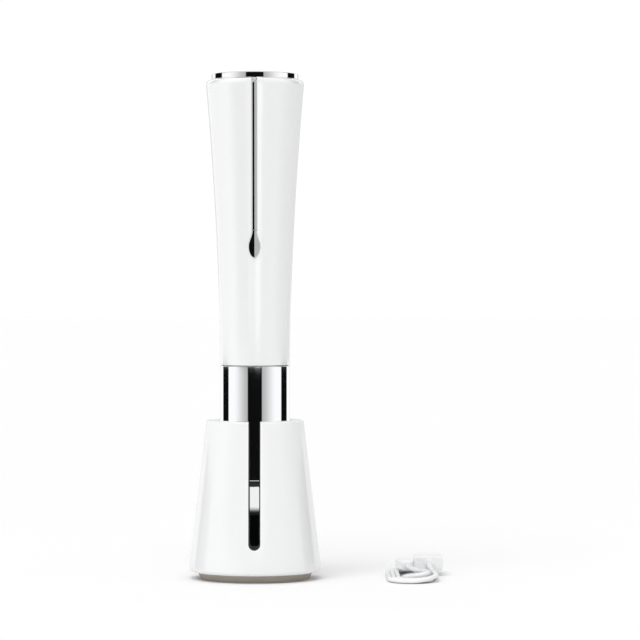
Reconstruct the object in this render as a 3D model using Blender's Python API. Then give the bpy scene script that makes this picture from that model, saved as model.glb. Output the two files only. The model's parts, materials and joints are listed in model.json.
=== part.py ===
"""Electric wine opener, upright in its conical table stand, with its charging cable beside it.

Metres, +Z up. The origin is the centre of the foot's underside. The button, the trim line and the
stand's slot face -Y, and the charging port faces +Y.
"""

import math

import bmesh
import bpy
from mathutils import Matrix, Vector

MM = 0.001

# Clearances
GAP = 0.3 * MM  # between pieces that touch
SLIDE_GAP = 0.4 * MM  # round the opener where it drops into the stand
BACKLASH = 0.14 * MM  # taken off each gear tooth's thickness

# Facets round a turned piece
FACETS = 44
SMALL_FACETS = 22
SCREW_FACETS = 12

# Stand
FOOT_R = 31.2 * MM
FOOT_TAPER = 1.8 * MM
FOOT_H = 3.8 * MM
STAND_H = 81.9 * MM
STAND_BOTTOM_R = 36.1 * MM
STAND_RIM = 7.4 * MM
STAND_WALL = 2.2 * MM
STAND_LIP = 2.0 * MM
STAND_EDGE = 1.2 * MM
STAND_BASE_T = 3.0 * MM
LINER_WALL = 1.3 * MM
WELL_FLOOR = 16.0 * MM  # height of the well's floor above the table
WELL_FLOOR_T = 2.0 * MM
LEDGE_T = 3.0 * MM
LEDGE_IN = 3.4 * MM
SLOT_W = 6.4 * MM
SLOT_BOTTOM = 17.8 * MM
SLOT_CHEEK = 1.6 * MM
BOSS_R = 3.2 * MM
BOSS_CIRCLE = 27.6 * MM
BOSS_H = 12.0 * MM

# Opener, outside
MOUTH_Z = 35.9 * MM  # the opener's lowest edge, above the table
MOUTH_H = 15.1 * MM
MOUTH_TAPER = 1.6 * MM
MOUTH_ROUND = 0.75 * MM  # how far in the mouth's lower edge starts to curve
MOUTH_ROUND_H = 4.6 * MM
MOUTH_EDGE = 0.3 * MM
GASKET_H = 2.2 * MM
COLLAR_R = 19.0 * MM
COLLAR_H = 61.8 * MM
COLLAR_WALL = 0.9 * MM
BODY_H = 154.3 * MM
BODY_FLARE = 7.5 * MM
FLARE_POWER = 1.8
BODY_WALL = 1.8 * MM
SHOULDER_H = 2.7 * MM
SHOULDER_IN = 1.7 * MM
CAP_STEP = 1.3 * MM  # the cap's edge stands this far inside the shoulder
CAP_EDGE_H = 2.3 * MM
CAP_DOME = 2.1 * MM
CAP_LIP = 1.3 * MM  # how far the cap covers the body's top edge
CAP_SKIRT_H = 6.5 * MM
CAP_WALL = 1.0 * MM

# Button and trim line
DROP_Z = 64.0 * MM  # the drop's widest point, above the body's lower edge
DROP_W = 6.5 * MM
DROP_TAIL = 8.6 * MM
DROP_BELLY = 5.9 * MM
DROP_PROUD = 0.5 * MM
DROP_FLANGE = 0.7 * MM
DROP_TRAVEL = 0.5 * MM
TRIM_W = 2.5 * MM
TRIM_DEEP = 0.8 * MM
TRIM_PROUD = 0.25 * MM

# Bottle neck and cork
NECK_R = 15.2 * MM
NECK_DEPTH = 38.0 * MM  # from the mouth to the stop that the bottle meets
CORK_R = 12.9 * MM
CORK_H = 41.0 * MM
END_WALL = 4.4 * MM
NECK_RIM = 2.6 * MM

# Worm
WORM_R = 3.7 * MM
WORM_WIRE_R = 1.25 * MM
WORM_PITCH = 10.0 * MM
WORM_TURNS = 4.75
WORM_HUB_R = 5.2 * MM
WORM_HUB_H = 10.0 * MM
SPINDLE_R = 4.0 * MM
SPINDLE_TIP_R = 2.5 * MM

# Gearbox
MODULE = 0.6 * MM
SUN_TEETH = 12
PLANET_TEETH = 15
PLANETS = 3
GEAR_T = 6.0 * MM
PRESSURE_ANGLE = math.radians(20)
ADDENDUM = 0.8  # in modules
DEDENDUM = 1.1
HOUSING_WALL = 2.0 * MM
HOUSING_FLOOR = 2.8 * MM
HOUSING_FLANGE = 3.0 * MM
CARRIER_T = 2.5 * MM
PIN_R = 1.4 * MM
PLATE_T = 1.5 * MM

# Motor
MOTOR_R = 12.2 * MM
MOTOR_L = 29.0 * MM
MOTOR_WALL = 1.0 * MM
MOTOR_BOSS_R = 3.5 * MM
MOTOR_CAP_H = 3.7 * MM
SHAFT_R = 1.0 * MM
MAGNET_T = 1.4 * MM

# Frame, battery and boards
RAIL_T = 2.2 * MM
DECK_T = 2.5 * MM
DECK_ABOVE_MOTOR = 2.2 * MM
CELL_R = 9.15 * MM
CELL_L = 65.0 * MM
CELL_NUB_R = 2.8 * MM
CELL_NUB_H = 1.0 * MM
CELL_SPRING_H = 5.4 * MM
CONTACT_T = 0.6 * MM
BOARD_T = 1.0 * MM
BOARD_W = 16.0 * MM
BOARD_BELOW = 12.4 * MM  # how far the main board reaches below the drop
BOARD_L = 72.5 * MM
PORT_W = 7.5 * MM
PORT_H = 2.6 * MM
SEAT_T = 2.5 * MM

# Screws
SCREW_R = 0.9 * MM
SCREW_HEAD_R = 1.7 * MM
SCREW_HEAD_H = 1.2 * MM
SCREW_L = 5.5 * MM

# Charging cable
CORD_D = 2.5 * MM
CORD_LIFT = 0.3 * MM  # the film under the coil
CABLE_X = 85.0 * MM
CABLE_Y = 0.0
HANK_R = 12.5 * MM  # the outer turn's fold, at the middle of the cord
HANK_TURNS = 3
HANK_STRAIGHT = 41.5 * MM
USB_A_W = 12.0 * MM
USB_A_T = 4.5 * MM
USB_A_OUT = 10.1 * MM
USB_A_BODY = (15.6 * MM, 16.8 * MM, 7.8 * MM)
USB_A_U = 9.6 * MM
MICRO_W = 6.4 * MM
MICRO_T = 1.9 * MM
MICRO_OUT = 5.8 * MM
MICRO_BODY = (9.2 * MM, 15.0 * MM, 5.6 * MM)
MICRO_BODY_REAR = 7.0 * MM
MICRO_U = -2.1 * MM  # at the small plug's rear end
MICRO_TILT = math.radians(6)
PLUG_REAR_V = 8.9 * MM  # where both plug bodies start, along the hank
FILM_T = 0.15 * MM
FILM_GAP = 0.15 * MM
FILM_FROM = -20.6 * MM
FILM_TO = 5.6 * MM

GEARBOX_SCREW_ANGLES = [math.radians(a) for a in (0, 180)]
PLATE_SCREW_ANGLES = [math.radians(a) for a in (90, 270)]
MOTOR_SCREW_CIRCLE = 8.0 * MM
MOTOR_SCREW_ANGLES = [math.radians(a) for a in (0, 180)]
POST_CIRCLE = 16.5 * MM
POST_R = 3.0 * MM
POST_ANGLES = [math.radians(a) for a in (30, 150)]
BUSH_T = 1.3 * MM
BUSH_FLANGE_R = 7.0 * MM
RELIEF_L = 2.2 * MM
BAR_TOP_V = -6.0 * MM
# Small shared sizes
EASE = 0.1 * MM  # a hair of room or overlap
SPINDLE_STUB_R = 3.0 * MM
CARRIER_RIM = 1.4 * MM
SPIGOT_H = 5.0 * MM
CHAMFER = 0.8 * MM
DROP_STEM_R = 1.3 * MM
SWITCH_HALF = 3.0 * MM
CUT_PAST = 5.0 * MM  # how far a cutter reaches beyond the surface it opens

# Worked out from the sizes above: heights, from the table up
SHELL_Z = FOOT_H + GAP
STAND_TOP_Z = SHELL_Z + STAND_H
STAND_TOP_R = COLLAR_R + STAND_RIM
RIM_T = STAND_WALL + 0.4 * MM
WELL_R = COLLAR_R + SLIDE_GAP
LINER_R = WELL_R + LINER_WALL
MOUTH_TOP_Z = MOUTH_Z + MOUTH_H
COLLAR_Z = MOUTH_TOP_Z + GASKET_H + 2 * GAP
BODY_Z = COLLAR_Z + COLLAR_H + GAP
BODY_TOP_Z = BODY_Z + BODY_H
SHOULDER_Z = BODY_TOP_Z - SHOULDER_H
CAP_Z = BODY_TOP_Z + GAP
STOP_Z = MOUTH_Z + NECK_DEPTH
CORK_TOP_Z = STOP_Z + CORK_H
END_WALL_Z = CORK_TOP_Z + END_WALL
HOUSING_Z = END_WALL_Z + GAP
HOUSING_IN_Z = HOUSING_Z + HOUSING_FLOOR
CARRIER_Z = HOUSING_IN_Z + SCREW_HEAD_H + 2 * GAP
GEAR_Z = CARRIER_Z + CARRIER_T + GAP
GEAR_TOP_Z = GEAR_Z + GEAR_T
PIN_TOP_Z = GEAR_TOP_Z + 1.0 * MM
HOUSING_TOP_Z = PIN_TOP_Z + GAP + SCREW_HEAD_H + GAP + HOUSING_FLANGE
PLATE_Z = HOUSING_TOP_Z + GAP
MOTOR_Z = PLATE_Z + PLATE_T + GAP
MOTOR_TOP_Z = MOTOR_Z + MOTOR_L
MOTOR_CAP_TOP_Z = MOTOR_TOP_Z + GAP + MOTOR_CAP_H
DECK_Z = MOTOR_CAP_TOP_Z + DECK_ABOVE_MOTOR
CELL_Z = DECK_Z + DECK_T + GAP + CELL_SPRING_H + GAP
CELL_TOP_Z = CELL_Z + CELL_L
TOP_DECK_Z = CELL_TOP_Z + CELL_NUB_H - DECK_T
CONTACT_Z = CELL_TOP_Z + CELL_NUB_H + GAP
SEAT_Z = CAP_Z - CAP_SKIRT_H
DROP_CENTRE_Z = BODY_Z + DROP_Z
TRIM_Z = DROP_CENTRE_Z + DROP_TAIL + GAP

# Worked out from the sizes above: radii and gears
CAP_R = COLLAR_R + BODY_FLARE + EASE - SHOULDER_IN - CAP_STEP
BODY_MOUTH_R = CAP_R - CAP_LIP
NECK_SLEEVE_R = COLLAR_R - COLLAR_WALL - GAP
MOUTH_R = NECK_SLEEVE_R - 0.3 * MM
SPIGOT_R = NECK_R + 1.0 * MM
RING_TEETH = SUN_TEETH + 2 * PLANET_TEETH
ORBIT_R = MODULE * (SUN_TEETH + PLANET_TEETH) / 2
RING_ROOT_R = MODULE * (RING_TEETH / 2 + DEDENDUM)
HOUSING_R = RING_ROOT_R + HOUSING_WALL
GEARBOX_SCREW_CIRCLE = (BUSH_FLANGE_R + RING_ROOT_R) / 2
FLANGE_R = COLLAR_R - BODY_WALL - GAP
PIN_HOLE_R = PIN_R + GAP
SCREW_HOLE_R = SCREW_R + GAP
PLATE_SCREW_CIRCLE = FLANGE_R - SCREW_HEAD_R - EASE
SPOKE_ANGLES = [math.radians(a) for a in (90, 210, 330)]

# Worked out from the sizes above: boards and cable
BOARD_Y = -(MOTOR_R + 1.0 * MM)  # the back of the main board
BOARD_LOW_Z = DROP_CENTRE_Z - BOARD_BELOW
BRIDGE_Z = BOARD_LOW_Z + BOARD_L - 4.0 * MM
BRIDGE_H = 4.0 * MM
BRIDGE_T = 2.0 * MM
CHARGE_BOARD_Z = TOP_DECK_Z + DECK_T + GAP
PORT_Z = CHARGE_BOARD_Z + BOARD_T + GAP + PORT_H / 2
COIL_TOP = CORD_LIFT + CORD_D + EASE
LAYER_1 = CORD_LIFT + CORD_D / 2
LAYER_2 = COIL_TOP + GAP + CORD_D / 2
USB_A_Z = COIL_TOP + GAP + USB_A_BODY[2] / 2
MICRO_Z = COIL_TOP + GAP + MICRO_BODY[2] / 2

# The inner loop, chosen by hand, in millimetres: from the coil's inner edge, round the loop that
# lies over the folds, up across itself and into the small plug.
INNER_LOOP = [
    (5.0, 15.0, LAYER_1 / MM),
    (4.4, 10.0, LAYER_1 / MM),
    (2.9, 5.6, LAYER_1 / MM),
    (-0.6, -1.0, LAYER_1 / MM),
    (-3.6, -8.0, LAYER_1 / MM),
    (-4.4, -14.0, LAYER_1 / MM + 0.1),
    (-2.6, -20.4, LAYER_1 / MM + 0.9),
    (2.2, -24.0, LAYER_1 / MM + 2.1),
    (7.2, -21.6, LAYER_2 / MM),
    (8.6, -16.2, LAYER_2 / MM),
    (7.0, -10.4, LAYER_2 / MM),
    (4.0, -5.0, LAYER_2 / MM),
    (1.0, -0.2, LAYER_2 / MM + 0.3),
    (-1.0, 3.4, LAYER_2 / MM + 1.1),
]

# Colours and finishes: name -> (red, green, blue), roughness, metallic
FINISHES = {
    "white_gloss": ((0.88, 0.88, 0.88), 0.18, 0.0),
    "chrome": ((0.80, 0.80, 0.81), 0.05, 1.0),
    "black_satin": ((0.015, 0.015, 0.017), 0.45, 0.0),
    "taupe_rubber": ((0.34, 0.30, 0.26), 0.75, 0.0),
    "grey_plastic": ((0.45, 0.46, 0.47), 0.5, 0.0),
    "natural_nylon": ((0.80, 0.78, 0.70), 0.45, 0.0),
    "steel": ((0.56, 0.56, 0.57), 0.3, 1.0),
    "bronze": ((0.60, 0.42, 0.22), 0.35, 1.0),
    "coated_steel": ((0.05, 0.05, 0.055), 0.3, 0.6),
    "magnet": ((0.10, 0.10, 0.11), 0.7, 0.3),
    "copper": ((0.72, 0.35, 0.18), 0.4, 1.0),
    "cell_wrap": ((0.10, 0.28, 0.55), 0.35, 0.0),
    "board_green": ((0.03, 0.22, 0.10), 0.4, 0.0),
    "white_cable": ((0.86, 0.86, 0.86), 0.42, 0.0),
    "clear_film": ((0.92, 0.93, 0.94), 0.12, 0.0),
}


# ---------------------------------------------------------------- scene and objects


def clear_scene():
    for old in list(bpy.data.objects):
        bpy.data.objects.remove(old, do_unlink=True)


def make_materials():
    for name, (colour, roughness, metallic) in FINISHES.items():
        made = bpy.data.materials.new(name)
        made.use_nodes = True
        shader = made.node_tree.nodes["Principled BSDF"]
        shader.inputs["Base Color"].default_value = (*colour, 1.0)
        shader.inputs["Roughness"].default_value = roughness
        shader.inputs["Metallic"].default_value = metallic
        if name == "clear_film":
            shader.inputs["Alpha"].default_value = 0.35


def link(name, data, finish=None, parent=None, at=(0, 0, 0)):
    """A new object. `at` is its place in its parent's frame."""
    made = bpy.data.objects.new(name, data)
    bpy.context.scene.collection.objects.link(made)
    made.parent = parent
    made.location = at
    if finish:
        made.data.materials.append(bpy.data.materials[finish])
    return made


def pivot(name, at, parent=None):
    return link(name, None, parent=parent, at=at)


def solid(name, shape, finish=None, parent=None, at=(0, 0, 0)):
    """An object from a bmesh, with its faces turned outwards and round parts smooth."""
    bmesh.ops.recalc_face_normals(shape, faces=shape.faces)
    mesh = bpy.data.meshes.new(name)
    shape.to_mesh(mesh)
    shape.free()
    mesh.shade_smooth()
    mesh.set_sharp_from_angle(angle=math.radians(35))
    return link(name, mesh, finish, parent, at)


def combine(target, shape, operation, label):
    """Cuts `shape` from `target`, adds it, or keeps what they share. Both are in world space."""
    tool = solid(target.name + "_" + label, shape)
    tool.hide_render = True
    tool.display_type = "WIRE"
    modifier = target.modifiers.new(label, "BOOLEAN")
    modifier.operation = operation
    modifier.solver = "EXACT"
    modifier.object = tool


def cut(target, shape, label):
    combine(target, shape, "DIFFERENCE", label)


def add(target, shape, label):
    combine(target, shape, "UNION", label)


# ---------------------------------------------------------------- shapes


def arc(centre_r, centre_z, radius, start, end, steps):
    """Points on an arc, angles in degrees, both ends included."""
    angles = [math.radians(start + (end - start) * i / steps) for i in range(steps + 1)]
    return [(centre_r + radius * math.cos(a), centre_z + radius * math.sin(a)) for a in angles]


def turned(outline, facets=FACETS, centre=(0, 0)):
    """A solid turned round a vertical axis. The (radius, z) outline is closed, and a radius of 0 is
    a point on the axis."""
    shape = bmesh.new()
    first = 0 if centre == (0, 0) else 0.5
    rings = []
    for radius, z in outline:
        if radius == 0:
            rings.append([shape.verts.new((*centre, z))])
            continue
        ring = []
        for i in range(facets):
            angle = 2 * math.pi * (i + first) / facets
            x = centre[0] + radius * math.cos(angle)
            y = centre[1] + radius * math.sin(angle)
            ring.append(shape.verts.new((x, y, z)))
        rings.append(ring)
    for lower, upper in zip(rings, rings[1:] + rings[:1]):
        if len(lower) == 1 and len(upper) == 1:
            continue
        for i in range(facets):
            j = (i + 1) % facets
            if len(lower) == 1:
                shape.faces.new((lower[0], upper[j], upper[i]))
            elif len(upper) == 1:
                shape.faces.new((lower[i], lower[j], upper[0]))
            else:
                shape.faces.new((lower[i], lower[j], upper[j], upper[i]))
    return shape


def rod(radius, low, high, centre=(0, 0), facets=SMALL_FACETS):
    return turned([(0, low), (radius, low), (radius, high), (0, high)], facets, centre)


def tube(inner, outer, low, high, facets=FACETS, centre=(0, 0)):
    return turned([(inner, low), (outer, low), (outer, high), (inner, high)], facets, centre)


def box(low, high):
    shape = bmesh.new()
    size = [b - a for a, b in zip(low, high)]
    middle = [(a + b) / 2 for a, b in zip(low, high)]
    place = Matrix.Translation(middle) @ Matrix.Diagonal((*size, 1))
    bmesh.ops.create_cube(shape, size=1, matrix=place)
    return shape


def prism(outline, low, high):
    """A flat outline of (x, y) points raised from z = low to z = high."""
    shape = bmesh.new()
    floor = [shape.verts.new((x, y, low)) for x, y in outline]
    roof = [shape.verts.new((x, y, high)) for x, y in outline]
    shape.faces.new(floor)
    shape.faces.new(list(reversed(roof)))
    for i in range(len(outline)):
        j = (i + 1) % len(outline)
        shape.faces.new((floor[i], roof[i], roof[j], floor[j]))
    return shape


def facing_y(shape, low_y=0.0):
    """Lays a prism down: its outline's (x, y) becomes (x, z), and its height runs along -Y."""
    bmesh.ops.transform(shape, matrix=Matrix.Rotation(math.pi / 2, 4, "X"), verts=shape.verts)
    bmesh.ops.translate(shape, vec=(0, low_y, 0), verts=shape.verts)
    return shape


def sweep(points, radii, sides=8):
    """A round bar along the points, with flat ends."""
    shape = bmesh.new()
    rings = []
    side = Vector((0, 0, 1))
    for i, point in enumerate(points):
        before = points[max(i - 1, 0)]
        after = points[min(i + 1, len(points) - 1)]
        along = (Vector(after) - Vector(before)).normalized()
        side = (side - along * side.dot(along)).normalized()
        other = along.cross(side)
        ring = []
        for k in range(sides):
            angle = 2 * math.pi * k / sides
            offset = (side * math.cos(angle) + other * math.sin(angle)) * radii[i]
            ring.append(shape.verts.new(Vector(point) + offset))
        rings.append(ring)
    shape.faces.new(list(reversed(rings[0])))
    shape.faces.new(rings[-1])
    for first, second in zip(rings, rings[1:]):
        for k in range(sides):
            n = (k + 1) % sides
            shape.faces.new((first[k], first[n], second[n], second[k]))
    return shape


def loft(sections):
    """A solid through closed sections of equal point count."""
    shape = bmesh.new()
    rings = [[shape.verts.new(point) for point in section] for section in sections]
    shape.faces.new(list(reversed(rings[0])))
    shape.faces.new(rings[-1])
    count = len(rings[0])
    for first, second in zip(rings, rings[1:]):
        for k in range(count):
            n = (k + 1) % count
            shape.faces.new((first[k], first[n], second[n], second[k]))
    return shape


def polar(radius, angle):
    return radius * math.cos(angle), radius * math.sin(angle)


def screw(name, parent, circle, angle, head_z, up, finish="steel", length=SCREW_L):
    """A pan-head screw. `head_z` is the face that the head bears on, and `up` is where it points."""
    toward = 1 if up else -1
    outline = [
        (0, -toward * SCREW_HEAD_H),
        (SCREW_HEAD_R, -toward * SCREW_HEAD_H),
        (SCREW_HEAD_R, 0),
        (SCREW_R, 0),
        (SCREW_R, toward * length),
        (0, toward * length),
    ]
    return solid(name, turned(outline, SCREW_FACETS), finish, parent, (*polar(circle, angle), head_z))


# ---------------------------------------------------------------- outlines shared by several pieces


def stand_radius(z):
    share = (z - SHELL_Z) / STAND_H
    return STAND_BOTTOM_R + (STAND_TOP_R - STAND_BOTTOM_R) * share


def body_radius(z):
    """The white body's outer radius, from its lower edge to its shoulder."""
    share = max(0.0, (z - BODY_Z) / (SHOULDER_Z - BODY_Z))
    return COLLAR_R + EASE + BODY_FLARE * share**FLARE_POWER


def body_inner_radius(z):
    return body_radius(z) - BODY_WALL


def body_front(steps, low):
    """(radius, z) up the body's outside from `low`, then round its shoulder to the cap."""
    points = []
    for i in range(steps):
        z = low + (SHOULDER_Z - low) * i / steps
        points.append((body_radius(z), z))
    shoulder_r = body_radius(SHOULDER_Z)
    for i in range(6):
        turn = math.pi / 2 * i / 5
        radius = shoulder_r - SHOULDER_IN * (1 - math.cos(turn))
        points.append((radius, SHOULDER_Z + SHOULDER_H * math.sin(turn)))
    return points


def drop_outline(grow=0.0):
    """The button's (x, z) outline: a round belly and a tail that narrows to the trim's width."""
    half = DROP_W / 2 + grow
    neck = TRIM_W / 2 + grow
    right = []
    for i in range(9):
        turn = math.pi / 2 * i / 8
        belly = DROP_BELLY + grow
        right.append((half * math.sin(turn), DROP_CENTRE_Z - belly * math.cos(turn)))
    for i in range(1, 7):
        share = i / 6
        width = neck + (half - neck) * (1 + math.cos(math.pi * share)) / 2
        right.append((width, DROP_CENTRE_Z + DROP_TAIL * share))
    left = [(-x, z) for x, z in reversed(right[1:])]
    return right + left


def slot_outline(half_width, bottom, top):
    """The stand's slot as (x, z): open at the top and round at the bottom."""
    round_z = bottom + half_width
    floor = arc(0, round_z, half_width, 180, 360, 10)
    return floor + [(half_width, top), (-half_width, top)]


def gear_outline(teeth, phase, internal=False):
    """Involute teeth as (x, y) points, with a tooth (or, inside a ring, a tooth space) at `phase`."""
    pitch_r = MODULE * teeth / 2
    base_r = pitch_r * math.cos(PRESSURE_ANGLE)
    grow = 1 if internal else -1
    tip_r = pitch_r + MODULE * (DEDENDUM if internal else ADDENDUM)
    root_r = pitch_r - MODULE * (ADDENDUM if internal else DEDENDUM)
    half_pitch_angle = math.pi / (2 * teeth) + grow * BACKLASH / (2 * pitch_r)
    lean_at_pitch = math.tan(PRESSURE_ANGLE) - PRESSURE_ANGLE

    def half_angle(radius):
        if radius <= base_r:
            return half_pitch_angle + lean_at_pitch
        pressure = math.acos(base_r / radius)
        return half_pitch_angle + lean_at_pitch - (math.tan(pressure) - pressure)

    points = []
    radii = [root_r, (root_r + pitch_r) / 2, pitch_r, tip_r]
    for tooth in range(teeth):
        centre = phase + 2 * math.pi * tooth / teeth
        points += [polar(radius, centre - half_angle(radius)) for radius in radii]
        points += [polar(radius, centre + half_angle(radius)) for radius in reversed(radii)]
    return points


def planet_phase(angle):
    """The planet's tooth angle that meshes with a ring whose tooth space is at angle 0."""
    ring_share = angle / (2 * math.pi / RING_TEETH)
    return angle - 2 * math.pi / PLANET_TEETH * ring_share


def sun_phase():
    """The sun's tooth angle that meshes with the first planet."""
    angle = SPOKE_ANGLES[0]
    planet_share = (angle + math.pi - planet_phase(angle)) / (2 * math.pi / PLANET_TEETH)
    return angle - 2 * math.pi / SUN_TEETH * (0.5 - planet_share)


# ---------------------------------------------------------------- stand


def make_stand(root):
    foot = turned([
        (0, 0),
        (FOOT_R - FOOT_TAPER, 0),
        (FOOT_R - 0.3 * MM, FOOT_H - 0.6 * MM),
        (FOOT_R, FOOT_H),
        (0, FOOT_H),
    ])
    solid("foot_pad", foot, "taupe_rubber", root)

    inner_bottom_r = STAND_BOTTOM_R - STAND_WALL
    base_top = SHELL_Z + STAND_BASE_T
    base_r = stand_radius(base_top) - STAND_WALL - GAP
    base = solid("stand_base", rod(base_r, SHELL_Z, base_top, facets=FACETS), "white_gloss", root)

    rim_z = STAND_TOP_Z - RIM_T
    top_r = STAND_TOP_R
    outline = [(inner_bottom_r, SHELL_Z)]
    outline += arc(stand_radius(SHELL_Z + STAND_LIP) - STAND_LIP, SHELL_Z + STAND_LIP, STAND_LIP, -90, 0, 4)
    outline += arc(top_r - STAND_EDGE, STAND_TOP_Z - STAND_EDGE, STAND_EDGE, 0, 90, 3)
    outline += [(WELL_R + 0.2 * MM, STAND_TOP_Z), (WELL_R + 0.2 * MM, rim_z)]
    outline += [(stand_radius(rim_z) - STAND_WALL, rim_z)]
    shell = solid("stand_shell", turned(outline), "white_gloss", root)

    skin = 0.5 * STAND_WALL
    boss_low = base_top + GAP
    for number, angle in enumerate(SPOKE_ANGLES, 1):
        x, y = polar(BOSS_CIRCLE, angle)
        add(shell, rod(BOSS_R, boss_low, boss_low + BOSS_H, (x, y), SCREW_FACETS), f"boss_{number}")
        reach = stand_radius(boss_low + BOSS_H) - skin - BOSS_CIRCLE
        rib = box((0, -1.0 * MM, boss_low + GAP), (reach, 1.0 * MM, boss_low + BOSS_H - GAP))
        turn = Matrix.Translation((x, y, 0)) @ Matrix.Rotation(angle, 4, "Z")
        bmesh.ops.transform(rib, matrix=turn, verts=rib.verts)
        add(shell, rib, f"rib_{number}")
        pilot = rod(SCREW_HOLE_R, boss_low - GAP, boss_low + SCREW_L, (x, y), SCREW_FACETS)
        cut(shell, pilot, f"pilot_{number}")
        recess_top = SHELL_Z + SCREW_HEAD_H + GAP
        cut(base, rod(SCREW_HEAD_R + GAP, 0, recess_top, (x, y), SCREW_FACETS), f"recess_{number}")
        cut(base, rod(SCREW_HOLE_R, 0, base_top + GAP, (x, y), SCREW_FACETS), f"hole_{number}")
        screw(f"base_screw_{number}", root, BOSS_CIRCLE, angle, recess_top, up=True)

    liner_top = rim_z - GAP
    seat_r = WELL_R - 1.4 * MM
    ledge_z = MOUTH_Z - GAP
    liner = solid("stand_liner", turned([
        (LINER_R - LINER_WALL, base_top + GAP),
        (LINER_R, base_top + GAP),
        (LINER_R, liner_top),
        (WELL_R, liner_top),
        (WELL_R, COLLAR_Z - GAP),
        (seat_r, MOUTH_TOP_Z + GAP),
        (seat_r, ledge_z),
        (seat_r - LEDGE_IN, ledge_z),
        (seat_r - LEDGE_IN, ledge_z - LEDGE_T),
        (seat_r, ledge_z - LEDGE_T),
        (seat_r, WELL_FLOOR),
        (0, WELL_FLOOR),
        (0, WELL_FLOOR - WELL_FLOOR_T),
        (LINER_R - LINER_WALL, WELL_FLOOR - WELL_FLOOR_T),
    ]), "black_satin", root)

    half_slot = SLOT_W / 2
    cheek_x = half_slot + SLOT_CHEEK
    cheek_y = LINER_WALL / 2 - LINER_R
    sections = []
    for z in (SLOT_BOTTOM - SLOT_CHEEK, liner_top):
        front = -math.sqrt((stand_radius(z) - STAND_WALL - GAP) ** 2 - cheek_x**2)
        corners = ((-cheek_x, cheek_y), (cheek_x, cheek_y), (cheek_x, front), (-cheek_x, front))
        sections.append([(x, y, z) for x, y in corners])
    add(liner, loft(sections), "cheeks")

    beyond = STAND_BOTTOM_R + CUT_PAST
    above = STAND_TOP_Z + CUT_PAST
    for piece in (shell, liner):
        opening = prism(slot_outline(half_slot, SLOT_BOTTOM, above), CUT_PAST, beyond)
        cut(piece, facing_y(opening), "slot")


# ---------------------------------------------------------------- opener: outside


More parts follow.
